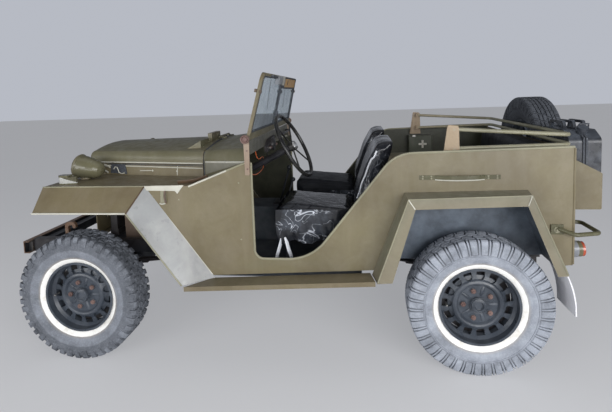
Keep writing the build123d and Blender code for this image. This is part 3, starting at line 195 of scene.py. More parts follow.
def paint(
    name, base, dust=(0.36, 0.34, 0.29), dustiness=0.25, gloss=0.36, rust=0.0, low_grime=0.0,
    inner=None, inner_place=(0, 0, 0),
):
    """Sprayed paint with faint mottling, dust, small scratches, grime and rust spots.

    Faces turned to the inner place, on either side of the car, take the inner colour: a painted shade.
    """
    f = Finish(name)
    dark = tuple(c * 0.78 for c in base)
    light = tuple(c * 1.16 for c in base)
    colour = f.mix(f.ramp(f.noise(3.1, 5), 0.35, 0.68), dark, light)
    speck = f.ramp(f.noise(95, 3), 0.6, 0.78)
    colour = f.mix(f.times(speck, 0.22), colour, light)
    patches = f.ramp(f.noise(7.5, 6, 0.62, 0.6), 0.44, 0.74, 0, dustiness)
    streaks = f.ramp(f.noise(10, 4, stretch=(1.0, 1.0, 0.12)), 0.5, 0.75, 0, dustiness * 0.8)
    upward = f.ramp(f.facing_up(), 0.55, 1.0, 0, dustiness * 0.5)
    dusty = f.maths("ADD", f.maths("MAXIMUM", patches, streaks), upward)
    colour = f.mix(dusty, colour, dust)
    if low_grime:
        height = f.ramp(f.axis("Z"), 0.48, 0.78, low_grime, 0)
        mottle = f.ramp(f.noise(14, 5), 0.35, 0.7)
        colour = f.mix(f.times(height, mottle), colour, (0.17, 0.14, 0.1))
    if rust:
        spots = f.ramp(f.noise(36, 6, 0.68, 0.4), 0.66, 0.72, 0, rust)
        worn = f.maths("MAXIMUM", spots, f.times(f.ramp(f.geometry("Pointiness"), 0.52, 0.6), rust))
        colour = f.mix(worn, colour, f.mix(f.noise(80), (0.2, 0.075, 0.03), (0.4, 0.24, 0.13)))
    # painted shade: faces turned into the car or a wheel box take the darker inner colour
    if inner:
        shade_tone = f.mix(f.ramp(f.noise(9, 6, 0.65), 0.38, 0.7), inner, tuple(c * 1.9 for c in inner))
        colour = f.mix(f.faces_place(*inner_place), colour, shade_tone)
    roughness = f.ramp(f.noise(22, 4), 0.3, 0.7, gloss - 0.06, gloss + 0.16)
    orange_peel = f.bump(f.noise(260, 2), 0.06, 0.001)
    waves = f.bump(f.noise(4.5, 2), 0.12, 0.012, orange_peel)
    return f.surface(colour, roughness, waves, Specular_IOR_Level=0.42)


def bare_metal(name, base, roughness=0.38):
    """Handled steel with fine scratches and darker blotches."""
    f = Finish(name)
    scratch = f.noise(60, 4, stretch=(1.0, 1.0, 9.0))
    colour = f.mix(f.ramp(f.noise(18, 5), 0.4, 0.7), base, tuple(c * 0.5 for c in base))
    rough = f.ramp(scratch, 0.3, 0.7, roughness - 0.1, roughness + 0.2)
    return f.surface(colour, rough, f.bump(scratch, 0.15, 0.0005), Metallic=0.9)


def tyre_rubber(name, wall_dust, tread_dust, white_ring=False, spread=0.5):
    """Rubber with dust by the amount on its wall and tread, and a painted ring by the rim."""
    f = Finish(name)
    x, z = f.axis("X"), f.axis("Z")
    reach = f.maths("SQRT", f.maths("ADD", f.times(x, x), f.times(z, z)))
    rubber = f.mix(f.noise(30, 5), (0.028, 0.031, 0.037), (0.06, 0.066, 0.078))
    dust = f.mix(f.noise(11, 5), (0.25, 0.275, 0.325), (0.46, 0.49, 0.55))
    cloud = f.ramp(f.noise(8.5, 6, 0.66, 0.5), 0.36, 0.68, 1 - spread, 1)
    amount = f.ramp(reach, 0.292, 0.3, wall_dust, tread_dust)
    share = f.times(cloud, amount)
    grime = f.times(f.ramp(f.noise(120, 3), 0.5, 0.62), 0.1)
    colour = f.mix(f.maths("ADD", share, grime), rubber, dust)
    if white_ring:
        wobble = f.times(f.maths("SUBTRACT", f.noise(26, 4), 0.5), 0.005)
        edge = f.maths("ADD", reach, wobble)
        ring = f.times(f.ramp(edge, 0.2425, 0.2405), f.ramp(reach, 0.2055, 0.207))
        whiteness = f.mix(f.ramp(f.noise(24, 6, 0.65), 0.5, 0.8), (0.9, 0.89, 0.86), (0.66, 0.63, 0.56))
        colour = f.mix(ring, colour, whiteness)
        halo = f.times(f.ramp(edge, 0.256, 0.243), f.ramp(edge, 0.2405, 0.2425))
        colour = f.mix(f.times(halo, 0.35), colour, (0.42, 0.36, 0.28))
    fine = f.bump(f.noise(210, 4), 0.25, 0.0012)
    return f.surface(colour, f.ramp(f.noise(20), 0.3, 0.7, 0.66, 0.9), fine, Specular_IOR_Level=0.35)


def vinyl(name, film=0.0):
    """Grained black seat cloth; film adds the creased clear wrap, with pale glints and a bluish sheen painted
    on its sides as painted highlight.
    """
    f = Finish(name)
    base = (0.011, 0.012, 0.015)
    colour = f.mix(f.ramp(f.noise(6, 4), 0.4, 0.7), base, tuple(c * 2.1 for c in base))
    grain = f.bump(f.cells(420), 0.2, 0.0008)
    normal = f.bump(f.noise(9, 5, 0.6, 1.2), 0.35, 0.012, grain)
    if not film:
        roughness = f.ramp(f.noise(16), 0.3, 0.7, 0.36, 0.5)
        return f.surface(colour, roughness, normal, Specular_IOR_Level=0.16)
    fine = f.noise(11, 2, 0.5, 0.9)
    coarse = f.noise(5, 2, 0.5, 1.4)
    # painted highlight: pale glints along the creases and a faint bluish sheen, mostly on faces turned aside
    ridge_glint = f.ramp(f.off_half(fine), 0.0, 0.013, 1, 0)
    fold_glint = f.ramp(f.off_half(coarse), 0.0, 0.01, 1, 0)
    cloud = f.ramp(f.noise(6, 5, 0.6, 0.8), 0.44, 0.6)
    aside = f.ramp(f.facing_up(), 0.75, 0.35, 0.06, 1.0)
    amount = f.times(f.times(cloud, aside), film)
    share = f.times(f.maths("MAXIMUM", ridge_glint, fold_glint), amount)
    colour = f.mix(share, colour, (0.78, 0.82, 0.9))
    colour = f.mix(f.times(amount, 0.1), colour, (0.4, 0.46, 0.56))
    normal = f.bump(coarse, 0.5, 0.02, f.bump(fine, 0.35, 0.01, normal))
    return f.surface(
        colour, f.ramp(fine, 0.3, 0.7, 0.1, 0.26), normal,
        Coat_Weight=0.3, Coat_Roughness=0.06, Specular_IOR_Level=0.3,
    )


def pane(name):
    """Thin window glass with a little dust."""
    f = Finish(name)
    inputs = {"Base Color": (0.82, 0.9, 0.93), "Roughness": 0.02, "Transmission Weight": 1.0, "IOR": 1.08}
    glass = f.add("ShaderNodeBsdfPrincipled", inputs)
    dust = f.add("ShaderNodeBsdfDiffuse", {"Color": (0.55, 0.6, 0.64)})
    share = f.ramp(f.noise(9, 6, 0.62, 0.4), 0.35, 0.75, 0.02, 0.24)
    f.add("ShaderNodeOutputMaterial", {"Surface": f.blend(share, glass, dust)})
    return f.material


def lens(name):
    """Moulded lamp glass: clear in front, pale on the fenders under an olive cap, red behind."""
    f = Finish(name)
    normal = f.bump(f.ribs(55), 0.4, 0.002)
    x, z = f.axis("X"), f.axis("Z")
    pale = f.mix(f.noise(40), (0.72, 0.73, 0.7), (0.6, 0.6, 0.56))
    slope = f.maths("SUBTRACT", z, f.times(f.maths("SUBTRACT", x, 1.232), 0.36))
    on_fender = f.maths("GREATER_THAN", f.maths("ABSOLUTE", f.axis("Y")), 0.6)
    capped = f.times(f.maths("GREATER_THAN", slope, 1.0465), on_fender)
    colour = f.mix(capped, pale, (0.13, 0.12, 0.075))
    red = f.mix(f.noise(40), (0.5, 0.05, 0.02), (0.6, 0.12, 0.04))
    colour = f.mix(f.maths("LESS_THAN", x, -1.0), colour, red)
    return f.surface(colour, 0.14, normal, Transmission_Weight=0.3, Coat_Weight=0.5)


def cloth_floor(name):
    """A dark ribbed floor covering with trodden dust."""
    f = Finish(name)
    dusty = f.ramp(f.noise(9, 6, 0.65), 0.42, 0.75, 0, 0.45)
    colour = f.mix(dusty, (0.045, 0.055, 0.068), (0.16, 0.16, 0.165))
    return f.surface(colour, 0.8, f.bump(f.ribs(12), 0.25, 0.002))


OLIVE = (0.135, 0.126, 0.074)
olive = paint("olive_paint", OLIVE, dustiness=0.16, rust=0.12, low_grime=0.25)
# The body sides, wheel boxes, fenders and cowl darken their inner faces through inner: painted shade.
side_paint = paint(
    "body_side_paint", OLIVE, dustiness=0.16, rust=0.12, low_grime=0.25,
    inner=(0.03, 0.031, 0.02), inner_place=(-1.0, 0, 0.8),
)
arch_paint = paint(
    "arch_paint", (0.172, 0.168, 0.118), dustiness=0.16, rust=0.12, low_grime=0.25,
    inner=(0.066, 0.08, 0.1), inner_place=(-1.06, 0.65, 0.6),
)
fender_paint = paint(
    "fender_paint", OLIVE, dustiness=0.16, rust=0.15,
    inner=(0.022, 0.026, 0.032), inner_place=(1.08, 0.65, 0.6),
)
cowl_paint = paint(
    "cowl_paint", OLIVE, dustiness=0.12, inner=(0.08, 0.078, 0.064), inner_place=(-0.1, 0, 0.9)
)
# The rear panel, seen from inside the tub, is painted far darker than the olive: painted shade.
tub_shade_paint = paint("tub_shade_paint", (0.05, 0.05, 0.035), dustiness=0.2, rust=0.1)
# Pale paint for worn spots and for painted highlights along folds, edges and creases.
wear_and_highlight_paint = paint("wear_and_highlight_paint", (0.5, 0.49, 0.42), dust=(0.6, 0.6, 0.56), dustiness=0.35, gloss=0.3)
# A greyer dusty paint for the aprons, made paler still as a painted reflection of the bright surroundings.
apron_dust_and_reflection_paint = paint(
    "apron_dust_and_reflection_paint", (0.31, 0.335, 0.345), dust=(0.5, 0.51, 0.5), dustiness=0.5, gloss=0.3, rust=0.1
)
olive_bow = paint("bow_paint", (0.235, 0.225, 0.15), dustiness=0.3, rust=0.45)
bracket_paint = paint("bracket_paint", (0.25, 0.215, 0.175), dustiness=0.35, rust=0.3)
bumper_paint = paint("bumper_paint", (0.022, 0.023, 0.026), dust=(0.2, 0.18, 0.16), dustiness=0.25, rust=0.45)
chassis = paint("chassis_paint", (0.012, 0.014, 0.018), dust=(0.16, 0.17, 0.19), dustiness=0.18, rust=0.04)
bow_bracket_paint = paint("bow_bracket_paint", (0.165, 0.158, 0.105), dustiness=0.2, rust=0.15)
# The side handles in a darker olive: painted shade on their bowed strips.
handle_shade_paint = paint("handle_shade_paint", (0.088, 0.084, 0.046), dustiness=0.06, gloss=0.2)
# A lighter olive sheet on the cowl's lower sides: painted light.
shoulder_light_paint = paint("shoulder_light_paint", (0.21, 0.205, 0.165), dustiness=0.3)
# Dark brown for the windshield's catches, and as painted shade in the cowl's gutters and the fenders' rear
# corners.
umber = paint("umber_paint", (0.032, 0.025, 0.016), dustiness=0.1, rust=0.2)
# A lighter olive for rolled edges, beads and rivets: painted highlight.
edge_highlight_paint = paint("edge_highlight_paint", (0.25, 0.24, 0.165), dustiness=0.2)
lamp_paint = paint("lamp_paint", (0.125, 0.117, 0.07), dustiness=0.05, gloss=0.17)
slate = paint("rim_paint", (0.042, 0.051, 0.066), dust=(0.2, 0.22, 0.25), dustiness=0.25, gloss=0.3)
can_paint = paint("can_paint", (0.02, 0.022, 0.028), dust=(0.3, 0.34, 0.4), dustiness=0.3, gloss=0.26)
box_paint = paint("box_paint", (0.058, 0.064, 0.044), dustiness=0.14)
rust_red = paint("rust_red", (0.14, 0.08, 0.07), dust=(0.4, 0.3, 0.26), dustiness=0.4, gloss=0.5)
iron = paint("engine_iron", (0.06, 0.06, 0.06), dustiness=0.2, rust=0.3, gloss=0.6)
orange_paint = paint("orange_paint", (0.48, 0.27, 0.07), dust=(0.5, 0.42, 0.3), dustiness=0.3, rust=0.2)
grey_paint = paint("grey_paint", (0.22, 0.23, 0.25), dustiness=0.3, gloss=0.3)
cross_paint = paint("cross_paint", (0.62, 0.6, 0.53), dustiness=0.2)
steel = bare_metal("worn_steel", (0.45, 0.44, 0.42))
bright = bare_metal("bright_steel", (0.8, 0.8, 0.8), 0.2)
# Pale dusty rubber for the mud flaps, made near white to stand in for light reaching them: partly painted
# light.
flap_rubber = paint("flap_rubber", (0.8, 0.8, 0.84), dust=(0.85, 0.85, 0.87), dustiness=0.6, gloss=0.6)
black_rubber = tyre_rubber("black_rubber", 0.05, 0.05)
seat_vinyl = vinyl("seat_vinyl")
film_vinyl = vinyl("film_vinyl", film=0.9)
white_film = paint("white_film", (0.7, 0.72, 0.76), dust=(0.4, 0.43, 0.48), dustiness=0.4, gloss=0.3)
back_vinyl = vinyl("back_vinyl", film=0.3)
glass = pane("window_glass")
clear_lens = lens("clear_lens")
floor_cover = cloth_floor("floor_cover")
wheel_black = paint("hand_wheel_black", (0.012, 0.012, 0.013), dustiness=0.08, gloss=0.22)
wire_orange = paint("wire_orange", (0.6, 0.13, 0.04), dustiness=0.1, gloss=0.35)

slot_finish = {
    "body_olive": olive,
    "rust_tan": bow_bracket_paint,
    "bow_olive": olive_bow,
    "wheel_slate": slate,
    "chassis_black": chassis,
    "engine_iron": iron,
    "bare_steel": steel,
    "tyre_black": black_rubber,
    "seat_black": seat_vinyl,
    "floor_grey": floor_cover,
    "black_plastic": wheel_black,
    "clear_glass": glass,
    "lens": clear_lens,
    "can_black": can_paint,
    "flap_rubber": flap_rubber,
    "box_olive": box_paint,
}
# nodes whose finish isn't their slot's
node_finish = {
    "front_bumper": bumper_paint,
    "body_side_left": side_paint,
    "body_side_right": side_paint,
    "wheel_boxes": arch_paint,
    "fender_left": fender_paint,
    "fender_right": fender_paint,
    "cowl": cowl_paint,
    # painted shade: the rear panel takes a far darker paint
    "rear_panel": tub_shade_paint,
    "lamp_shells": lamp_paint,
    "hinge_brackets": bracket_paint,
    # painted shade: the side handles take a darker olive
    "grab_handles": handle_shade_paint,
    "control_levers": chassis,
}


def dress_nodes():
    """Every CAD node takes its own finish or its slot's."""
    for part in frame["record"]["subparts"]:
        name = part["node"]
        node = cad_nodes[name]
        node.data.materials.clear()
        node.data.materials.append(node_finish.get(name, slot_finish[part["material_slot"]]))


dress_nodes()


# Meshes
class Shape:
    """A mesh gathered from simple forms, in metres; kind is the finish of what comes next."""

    def __init__(self):
        self.points = []
        self.faces = []
        self.kinds = []
        self.kind = 0

    def loops(self, rings, closed=True, capped=True):
        """Faces between rings of points of one length; closed rings join end to start."""
        first = len(self.points)
        count = len(rings[0])
        for ring in rings:
            self.points.extend(tuple(point) for point in ring)
        before = len(self.faces)
        for index in range(len(rings) - 1):
            low = first + index * count
            for step in range(count if closed else count - 1):
                after = (step + 1) % count
                self.faces.append((low + step, low + after, low + count + after, low + count + step))
        if capped and closed:
            last = first + (len(rings) - 1) * count
            self.faces.append(tuple(range(first + count - 1, first - 1, -1)))
            self.faces.append(tuple(range(last, last + count)))
        self.kinds.extend([self.kind] * (len(self.faces) - before))
        return self

    def turned(self, profile, steps=96, start=0.0, sweep=2 * pi):
        """A profile of (radius, along Y) rows turned about Y; a full turn closes on itself."""
        whole = abs(sweep - 2 * pi) < 1e-6
        count = steps if whole else steps + 1
        rings = []
        for index in range(count):
            angle = start + sweep * index / steps
            rings.append([(r * cos(angle), y, r * sin(angle)) for r, y in profile])
        if whole:
            rings.append(rings[0])
        return self.loops(rings, closed=True, capped=not whole)

    def box(self, low, high):
        """A box between two corners."""
        rings = []
        for z in (low[2], high[2]):
            corners = ((low[0], low[1]), (high[0], low[1]), (high[0], high[1]), (low[0], high[1]))
            rings.append([(x, y, z) for x, y in corners])
        return self.loops(rings)

    def tube(self, path, radius, steps=10, flat=1.0):
        """A bar along a path of points; flat squashes its section in one direction."""
        path = [Vector(point) for point in path]
        across = None
        rings = []
        for index, point in enumerate(path):
            before = path[max(index - 1, 0)]
            after = path[min(index + 1, len(path) - 1)]
            along = (after - before).normalized()
            if across is None:
                across = along.orthogonal()
            across = (across - along * across.dot(along)).normalized()
            up = along.cross(across)
            ring = []
            for step in range(steps):
                angle = 2 * pi * step / steps
                ring.append(point + (across * cos(angle) + up * sin(angle) * flat) * radius)
            rings.append(ring)
        return self.loops(rings)

    def bars(self, *rows):
        """Bars by (kind, radius, points from the rear axle, flat where it isn't round) rows."""
        for kind, radius, points, *flat in rows:
            self.kind = kind
            self.tube([car(*point) for point in points], radius, 10, *flat)

    def add(self, other, matrix):
        """Another shape's faces in their own kinds, moved by a matrix."""
        first = len(self.points)
        self.points.extend(tuple(matrix @ Vector(point)) for point in other.points)
        self.faces.extend(tuple(first + corner for corner in face) for face in other.faces)
        self.kinds.extend(other.kinds)
        return self

    def mirrored(self):
        """Its copy on the car's other side."""
        other = Shape()
        other.points = [(x, -y, z) for x, y, z in self.points]
        other.faces = [tuple(reversed(face)) for face in self.faces]
        other.kinds = list(self.kinds)
        return other

    def mesh(self, name):
        made = bpy.data.meshes.new(name)
        made.from_pydata(self.points, [], self.faces)
        for polygon, kind in zip(made.polygons, self.kinds):
            polygon.material_index = kind
        work = bmesh.new()
        work.from_mesh(made)
        bmesh.ops.remove_doubles(work, verts=work.verts, dist=1e-6)
        bmesh.ops.recalc_face_normals(work, faces=work.faces)
        work.to_mesh(made)
        work.free()
        return made


def piece(name, shape, finish, body, at=(0, 0, 0), bevel=0.0, smooth=35):
    """A shape as a piece of the car that rides on a body."""
    mesh = shape.mesh(name) if isinstance(shape, Shape) else shape
    made = bpy.data.objects.new(name, mesh)
    made.location = at
    bpy.context.scene.collection.objects.link(made)
    for material in finish if isinstance(finish, tuple) else (finish,):
        mesh.materials.append(material)
    mesh.shade_smooth()
    mesh.set_sharp_from_angle(angle=radians(smooth))
    if bevel:
        modifier = made.modifiers.new("bevel", "BEVEL")
        modifier.width = bevel
        modifier.segments = 2
        modifier.limit_method = "ANGLE"
        modifier.harden_normals = True
    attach(made, body)
    return made


def middle_of(node):
    """The middle of a CAD node's box."""
    low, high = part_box(node)
    return [(a + b) / 2 for a, b in zip(low, high)]


# Tyres
def casing(tread_radius, shoulder):
    """The tyre's body below its tread: rows of (radius, across)."""
    outer = [
        (0.206, 0.056), (0.2155, 0.0575), (0.226, 0.066), (0.2365, 0.0735), (0.2445, 0.0775),
        (0.2465, 0.0765), (0.256, 0.0815), (0.275, 0.087), (0.295, 0.0895), (0.31, 0.0895),
        (0.33, 0.0875), (shoulder, 0.082), (tread_radius - 0.003, 0.074), (tread_radius, 0.066),
        (tread_radius, 0),
    ]
    mirrored = [(r, -y) for r, y in reversed(outer[:-1])]
    return outer + mirrored


def lug(shape, profile, start, end, skew, taper):
    """One block of tread: a cross-section swept round the tyre between two angles.

    Skew turns each point by an angle for each metre across; taper narrows the outer face.
    """
    rings = []
    low = min(r for r, y in profile)
    high = max(r for r, y in profile)
    for step in range(3):
        share = step / 2
        ring = []
        for r, y in profile:
            lift = (r - low) / (high - low)
            inset = taper * lift * (1 - 2 * share)
            angle = start + (end - start) * share + skew * y + inset
            ring.append((r * cos(angle), y, r * sin(angle)))
        rings.append(ring)
    shape.loops(rings)


# tread: the casing's radius, pitches round the tyre, shoulder as (radius over its foot, across)
# then (radius, across) rows, ribs by turns as (start, end, foot radius), their skew and taper,
# blocks as (near, far, start, skew), their length; starts, ends and lengths are in pitches
treads = {
    "lug_tyre": (
        0.3655, 44, ((0, 0.0865), (0.005, 0.092)),
        (
            (0.352, 0.0895), (0.366, 0.0865), (0.3735, 0.0815), (0.376, 0.075),
            (0.376, 0.052), (0.362, 0.052), (0.352, 0.074), (0.34, 0.082),
        ),
        (((0.0, 0.68, 0.322),), ((0.0, 0.58, 0.337),)), 0.3, 0.003,
        ((0.026, 0.045, 0.4, 1.2), (0.003, 0.021, -0.1, -1.2)), 0.64,
    ),
    "rib_tyre": (
        0.366, 40, ((0, 0.088), (0.004, 0.0925)),
        (
            (0.335, 0.0915), (0.355, 0.088), (0.369, 0.0825), (0.375, 0.074),
            (0.3755, 0.053), (0.362, 0.053), (0.352, 0.072), (0.33, 0.084),
        ),
        (((0.0, 0.62, 0.297), (0.73, 0.89, 0.296)),), 0.0, 0.002,
        ((0.03, 0.048, 0.3, 1.6), (0.005, 0.024, 0.8, -1.6)), 0.82,
    ),
}


def tyre_shape(name):
    """A tyre with ribs or lugs round its shoulders and rows of skewed blocks on its tread."""
    radius, pitches, foot_rows, shoulder_rows, ribs, skew, taper, blocks, length = treads[name]
    shape = Shape().turned(casing(radius, 0.354), 120)
    if name == "rib_tyre":
        for side in (-1, 1):
            shape.turned([(0.2865, side * 0.088), (0.289, side * 0.0925), (0.2915, side * 0.088)], 120)
    shape.kind = 1
    pitch = 2 * pi / pitches
    for index in range(pitches):
        for side in (-1, 1):
            offset = index * pitch + (0.5 * pitch if side < 0 else 0)
            for start, end, foot in ribs[index % len(ribs)]:
                shoulder = [(foot + lift, side * y) for lift, y in foot_rows]
                shoulder += [(r, side * y) for r, y in shoulder_rows]
                lug(shape, shoulder, offset + start * pitch, offset + end * pitch, side * skew, taper)
            for near, far, start, turn in blocks:
                block = [(r, side * y) for r, y in ((0.36, near), (0.36, far), (0.376, far), (0.376, near))]
                begin = offset + start * pitch
                lug(shape, block, begin, begin + length * pitch, side * turn, 0.003)
    return shape


def add_tyres():
    """Five tyres over their plain nodes, each with a casing's and a tread's finish."""
    front = (
        tyre_rubber("front_casing", 0.6, 0.3, white_ring=True),
        tyre_rubber("front_lugs", 0.5, 0.5, spread=0.9),
    )
    rear = (
        tyre_rubber("rear_casing", 1.0, 0.4, white_ring=True),
        tyre_rubber("rear_ribs", 1.0, 1.0, spread=0.55),
    )
    spare = (tyre_rubber("spare_casing", 0.1, 0.02), tyre_rubber("spare_ribs", 0.12, 0.12, spread=0.9))
    # tyre: node, tread, finishes, body, turn about Z
    tyres = (
        ("tyre_front_left", "lug_tyre", front, "front_left_wheel", 0),
        ("tyre_front_right", "lug_tyre", front, "front_right_wheel", 180),
        ("tyre_rear_left", "rib_tyre", rear, "rear_left_wheel", 0),
        ("tyre_rear_right", "rib_tyre", rear, "rear_right_wheel", 180),
        ("spare_tyre", "rib_tyre", spare, "car_body", 90),
    )
    meshes = {name: tyre_shape(name).mesh(name) for name in treads}
    for node, tread, finishes, body, turn in tyres:
        mesh = meshes[tread].copy()
        mesh.transform(Matrix.Rotation(radians(turn), 4, "Z"))
        made = piece(
            "treaded_" + node, mesh, finishes, body, at=middle_of(node), bevel=0.0012
        )
        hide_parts(node)


add_tyres()


# Wheel fittings
def wheel_fittings():
    """Nut caps, flutes, rings on the hub cap, a valve, and the plate behind the windows."""
    # washer, cap and stud: kind, sides, (radius, along Y) rows
    nut = (
        (0, 20, [(0, 0.0215), (0.0185, 0.0215), (0.0185, 0.0245), (0, 0.0245)]),
        (1, 6, [(0, 0.024), (0.0142, 0.024), (0.0142, 0.0335), (0.0115, 0.0362), (0, 0.0362)]),
        (1, 12, [(0, 0.036), (0.0062, 0.036), (0.0062, 0.0405), (0.0045, 0.042), (0, 0.042)]),
    )
    shape = Shape()
    for index in range(5):
        turn = Matrix.Rotation(-2 * pi / 5 * index, 4, "Y")
        for kind, steps, profile in nut:
            part = Shape()
            part.kind = kind
            shape.add(part.turned(profile, steps), turn @ Matrix.Translation((0.078, 0, 0)))
        half_turn = Matrix.Rotation(-2 * pi / 5 * (index + 0.5), 4, "Y")
        crest = ((0.05, 0.0125), (0.06, 0.0168), (0.075, 0.018), (0.09, 0.0168), (0.1, 0.012))
        shape.add(Shape().tube([(r, y, 0) for r, y in crest], 0.011, 12), half_turn)
    for radius, level, thick in ((0.043, 0.0435, 0.0022), (0.0305, 0.0485, 0.0016), (0.0222, 0.0405, 0.0018)):
        ring = []
        for step in range(8):
            angle = 2 * pi * step / 8
            ring.append((radius + thick * cos(angle), level + thick * sin(angle)))
        shape.turned(ring, 40)
    shape.kind = 2
    shape.tube([(0.166, 0.01, 0), (0.168, 0.03, 0), (0.166, 0.05, 0)], 0.0042, 10)
    shape.kind = 3
    shape.turned([(0.15, -0.03), (0.168, -0.026), (0.1868, -0.03), (0.1868, -0.034), (0.15, -0.034)], 60)
    return shape


def add_wheel_fittings():
    """The fittings of each wheel, mirrored on the right."""
    finishes = (slate, rust_red, steel, chassis)
    for name in ("front_left", "front_right", "rear_left", "rear_right"):
        shape = wheel_fittings() if name.endswith("left") else wheel_fittings().mirrored()
        place = middle_of("wheel_" + name)
        piece(f"wheel_fittings_{name}", shape, finishes, name + "_wheel", at=place)


add_wheel_fittings()


# Cushions
def corner_cut(points, rounds):
    """Rounds a closed outline by cutting its corners again and again."""
    for _ in range(rounds):
        cut = []
        for index, point in enumerate(points):
            after = points[(index + 1) % len(points)]
            cut.append(tuple(0.75 * a + 0.25 * b for a, b in zip(point, after)))
            cut.append(tuple(0.25 * a + 0.75 * b for a, b in zip(point, after)))
        points = cut
    return points


def cushion_shape(outline, half_width, edge, crown):
    """A pillow with one outline across its width, drawn in and rounded at both ends."""
    dense = []
    for index, point in enumerate(outline):
        after = outline[(index + 1) % len(outline)]
        for step in range(4):
            dense.append(tuple(a + (b - a) * step / 4 for a, b in zip(point, after)))
    line = corner_cut(dense, 2)
    middle = [sum(p[axis] for p in line) / len(line) for axis in (0, 1)]
    reach = [max(abs(p[axis] - middle[axis]) for p in line) for axis in (0, 1)]
    rings = []
    for step in range(33):
        s = -1 + step / 16
        share = max(0.0, (abs(s) * half_width - (half_width - edge)) / edge)
        inset = edge * (1 - (1 - min(share, 0.9995) ** 2) ** 0.5)
        grow = crown * (1 - s * s)
        ring = []
        for p in line:
            along = (p[0] - middle[0]) * (1 - inset / reach[0])
            up = (p[1] - middle[1]) * (1 - inset / reach[1])
            if up > 0:
                up *= 1 + grow
            ring.append((middle[0] + along, s * half_width, middle[1] + up))
        rings.append(ring)
    return Shape().loops(rings)


def puffed(mesh, held_z):
    """The mesh swollen by air as sewn cloth would be, held below the height of its frame."""
    voxel, cap = 0.006, 0.01  # size of the remesh, most that a point moves
    made = bpy.data.objects.new("puffed", mesh)
    bpy.context.scene.collection.objects.link(made)
    remesh = made.modifiers.new("remesh", "REMESH")
    remesh.mode = "VOXEL"
    remesh.voxel_size = voxel
    graph = bpy.context.evaluated_depsgraph_get()
    fine = bpy.data.meshes.new_from_object(made.evaluated_get(graph))
    made.modifiers.clear()
    made.data = fine
    held = made.vertex_groups.new(name="held")
    held.add([v.index for v in fine.vertices if v.co.z < held_z], 1.0, "REPLACE")
    rest = [v.co.copy() for v in fine.vertices]
    cloth = made.modifiers.new("cloth", "CLOTH")
    settings = cloth.settings
    settings.quality = 5
    settings.mass = 0.25
    settings.tension_stiffness = 18
    settings.compression_stiffness = 18
    settings.bending_stiffness = 0.4
    settings.use_pressure = True
    settings.uniform_pressure_force = 4
    settings.effector_weights.gravity = 0
    settings.vertex_group_mass = "held"
    scene = bpy.context.scene
    for number in range(1, 21):
        scene.frame_set(number)
    graph = bpy.context.evaluated_depsgraph_get()
    swollen = made.evaluated_get(graph).to_mesh()
    moved = [v.co.copy() for v in swollen.vertices]
    made.evaluated_get(graph).to_mesh_clear()
    made.modifiers.clear()
    scene.frame_set(1)
    for vertex, start, end in zip(fine.vertices, rest, moved):
        step = end - start
        if step.length > cap:
            step *= cap / step.length
        vertex.co = start + step
    made.vertex_groups.clear()
    bpy.data.objects.remove(made)
    return fine


def sewn(mesh, half_width, seam_inset):
    """Presses a seam with a raised welt beside it along each side edge."""
    for vertex in mesh.vertices:
        off = abs(abs(vertex.co.y) - (half_width - seam_inset))
        if off < 0.014:
            groove = -0.0022 * exp(-((off / 0.003) ** 2))
            welt = 0.0016 * exp(-(((off - 0.006) / 0.003) ** 2))
            vertex.co += vertex.normal * (groove + welt)
    return mesh


def add_cushions():
    """The padded pieces in place of the plain cushion nodes."""
    # cushion: node, outline along the car in metres from the rear axle, middles across,
    # half width, crown, height below which it is held, finish at each middle
    cushions = (
        ("front_seat_cushions", ((0.642, 0.737), (1.092, 0.737), (1.112, 0.872), (0.662, 0.832)),
         (0.37, -0.37), 0.236, 0.12, 0.75, (film_vinyl, seat_vinyl)),
        ("front_seat_backs",
         ((0.558, 0.866), (0.655, 0.866), (0.625, 0.96), (0.568, 1.12), (0.502, 1.24), (0.468, 1.252),
          (0.412, 1.252)),
         (0.37, -0.37), 0.226, 0.03, 0.89, (back_vinyl, back_vinyl)),
        ("rear_seat_cushion", ((-0.325, 0.792), (0.106, 0.792), (0.114, 0.868), (-0.316, 0.868)),
         (0.0,), 0.53, 0.12, 0.8, (seat_vinyl,)),
        ("rear_seat_back", ((-0.426, 0.888), (-0.339, 0.888), (-0.378, 1.205), (-0.46, 1.215)),
         (0.0,), 0.53, 0.03, 0.89, (seat_vinyl,)),
    )
    edge = 0.05
    for node, outline, middles, half_width, crown, held_z, finishes in cushions:
        form = cushion_shape(outline, half_width, edge, crown).mesh(node)
        mesh = sewn(puffed(form, held_z), half_width, edge * 0.6)
        for number, (middle, finish) in enumerate(zip(middles, finishes)):
            cushion = piece(
                f"{node}_{number}", mesh.copy(), finish, "car_body",
                at=(rear_axle_x, middle, 0), smooth=80,
            )
            if number == 0:
                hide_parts(node)


add_cushions()


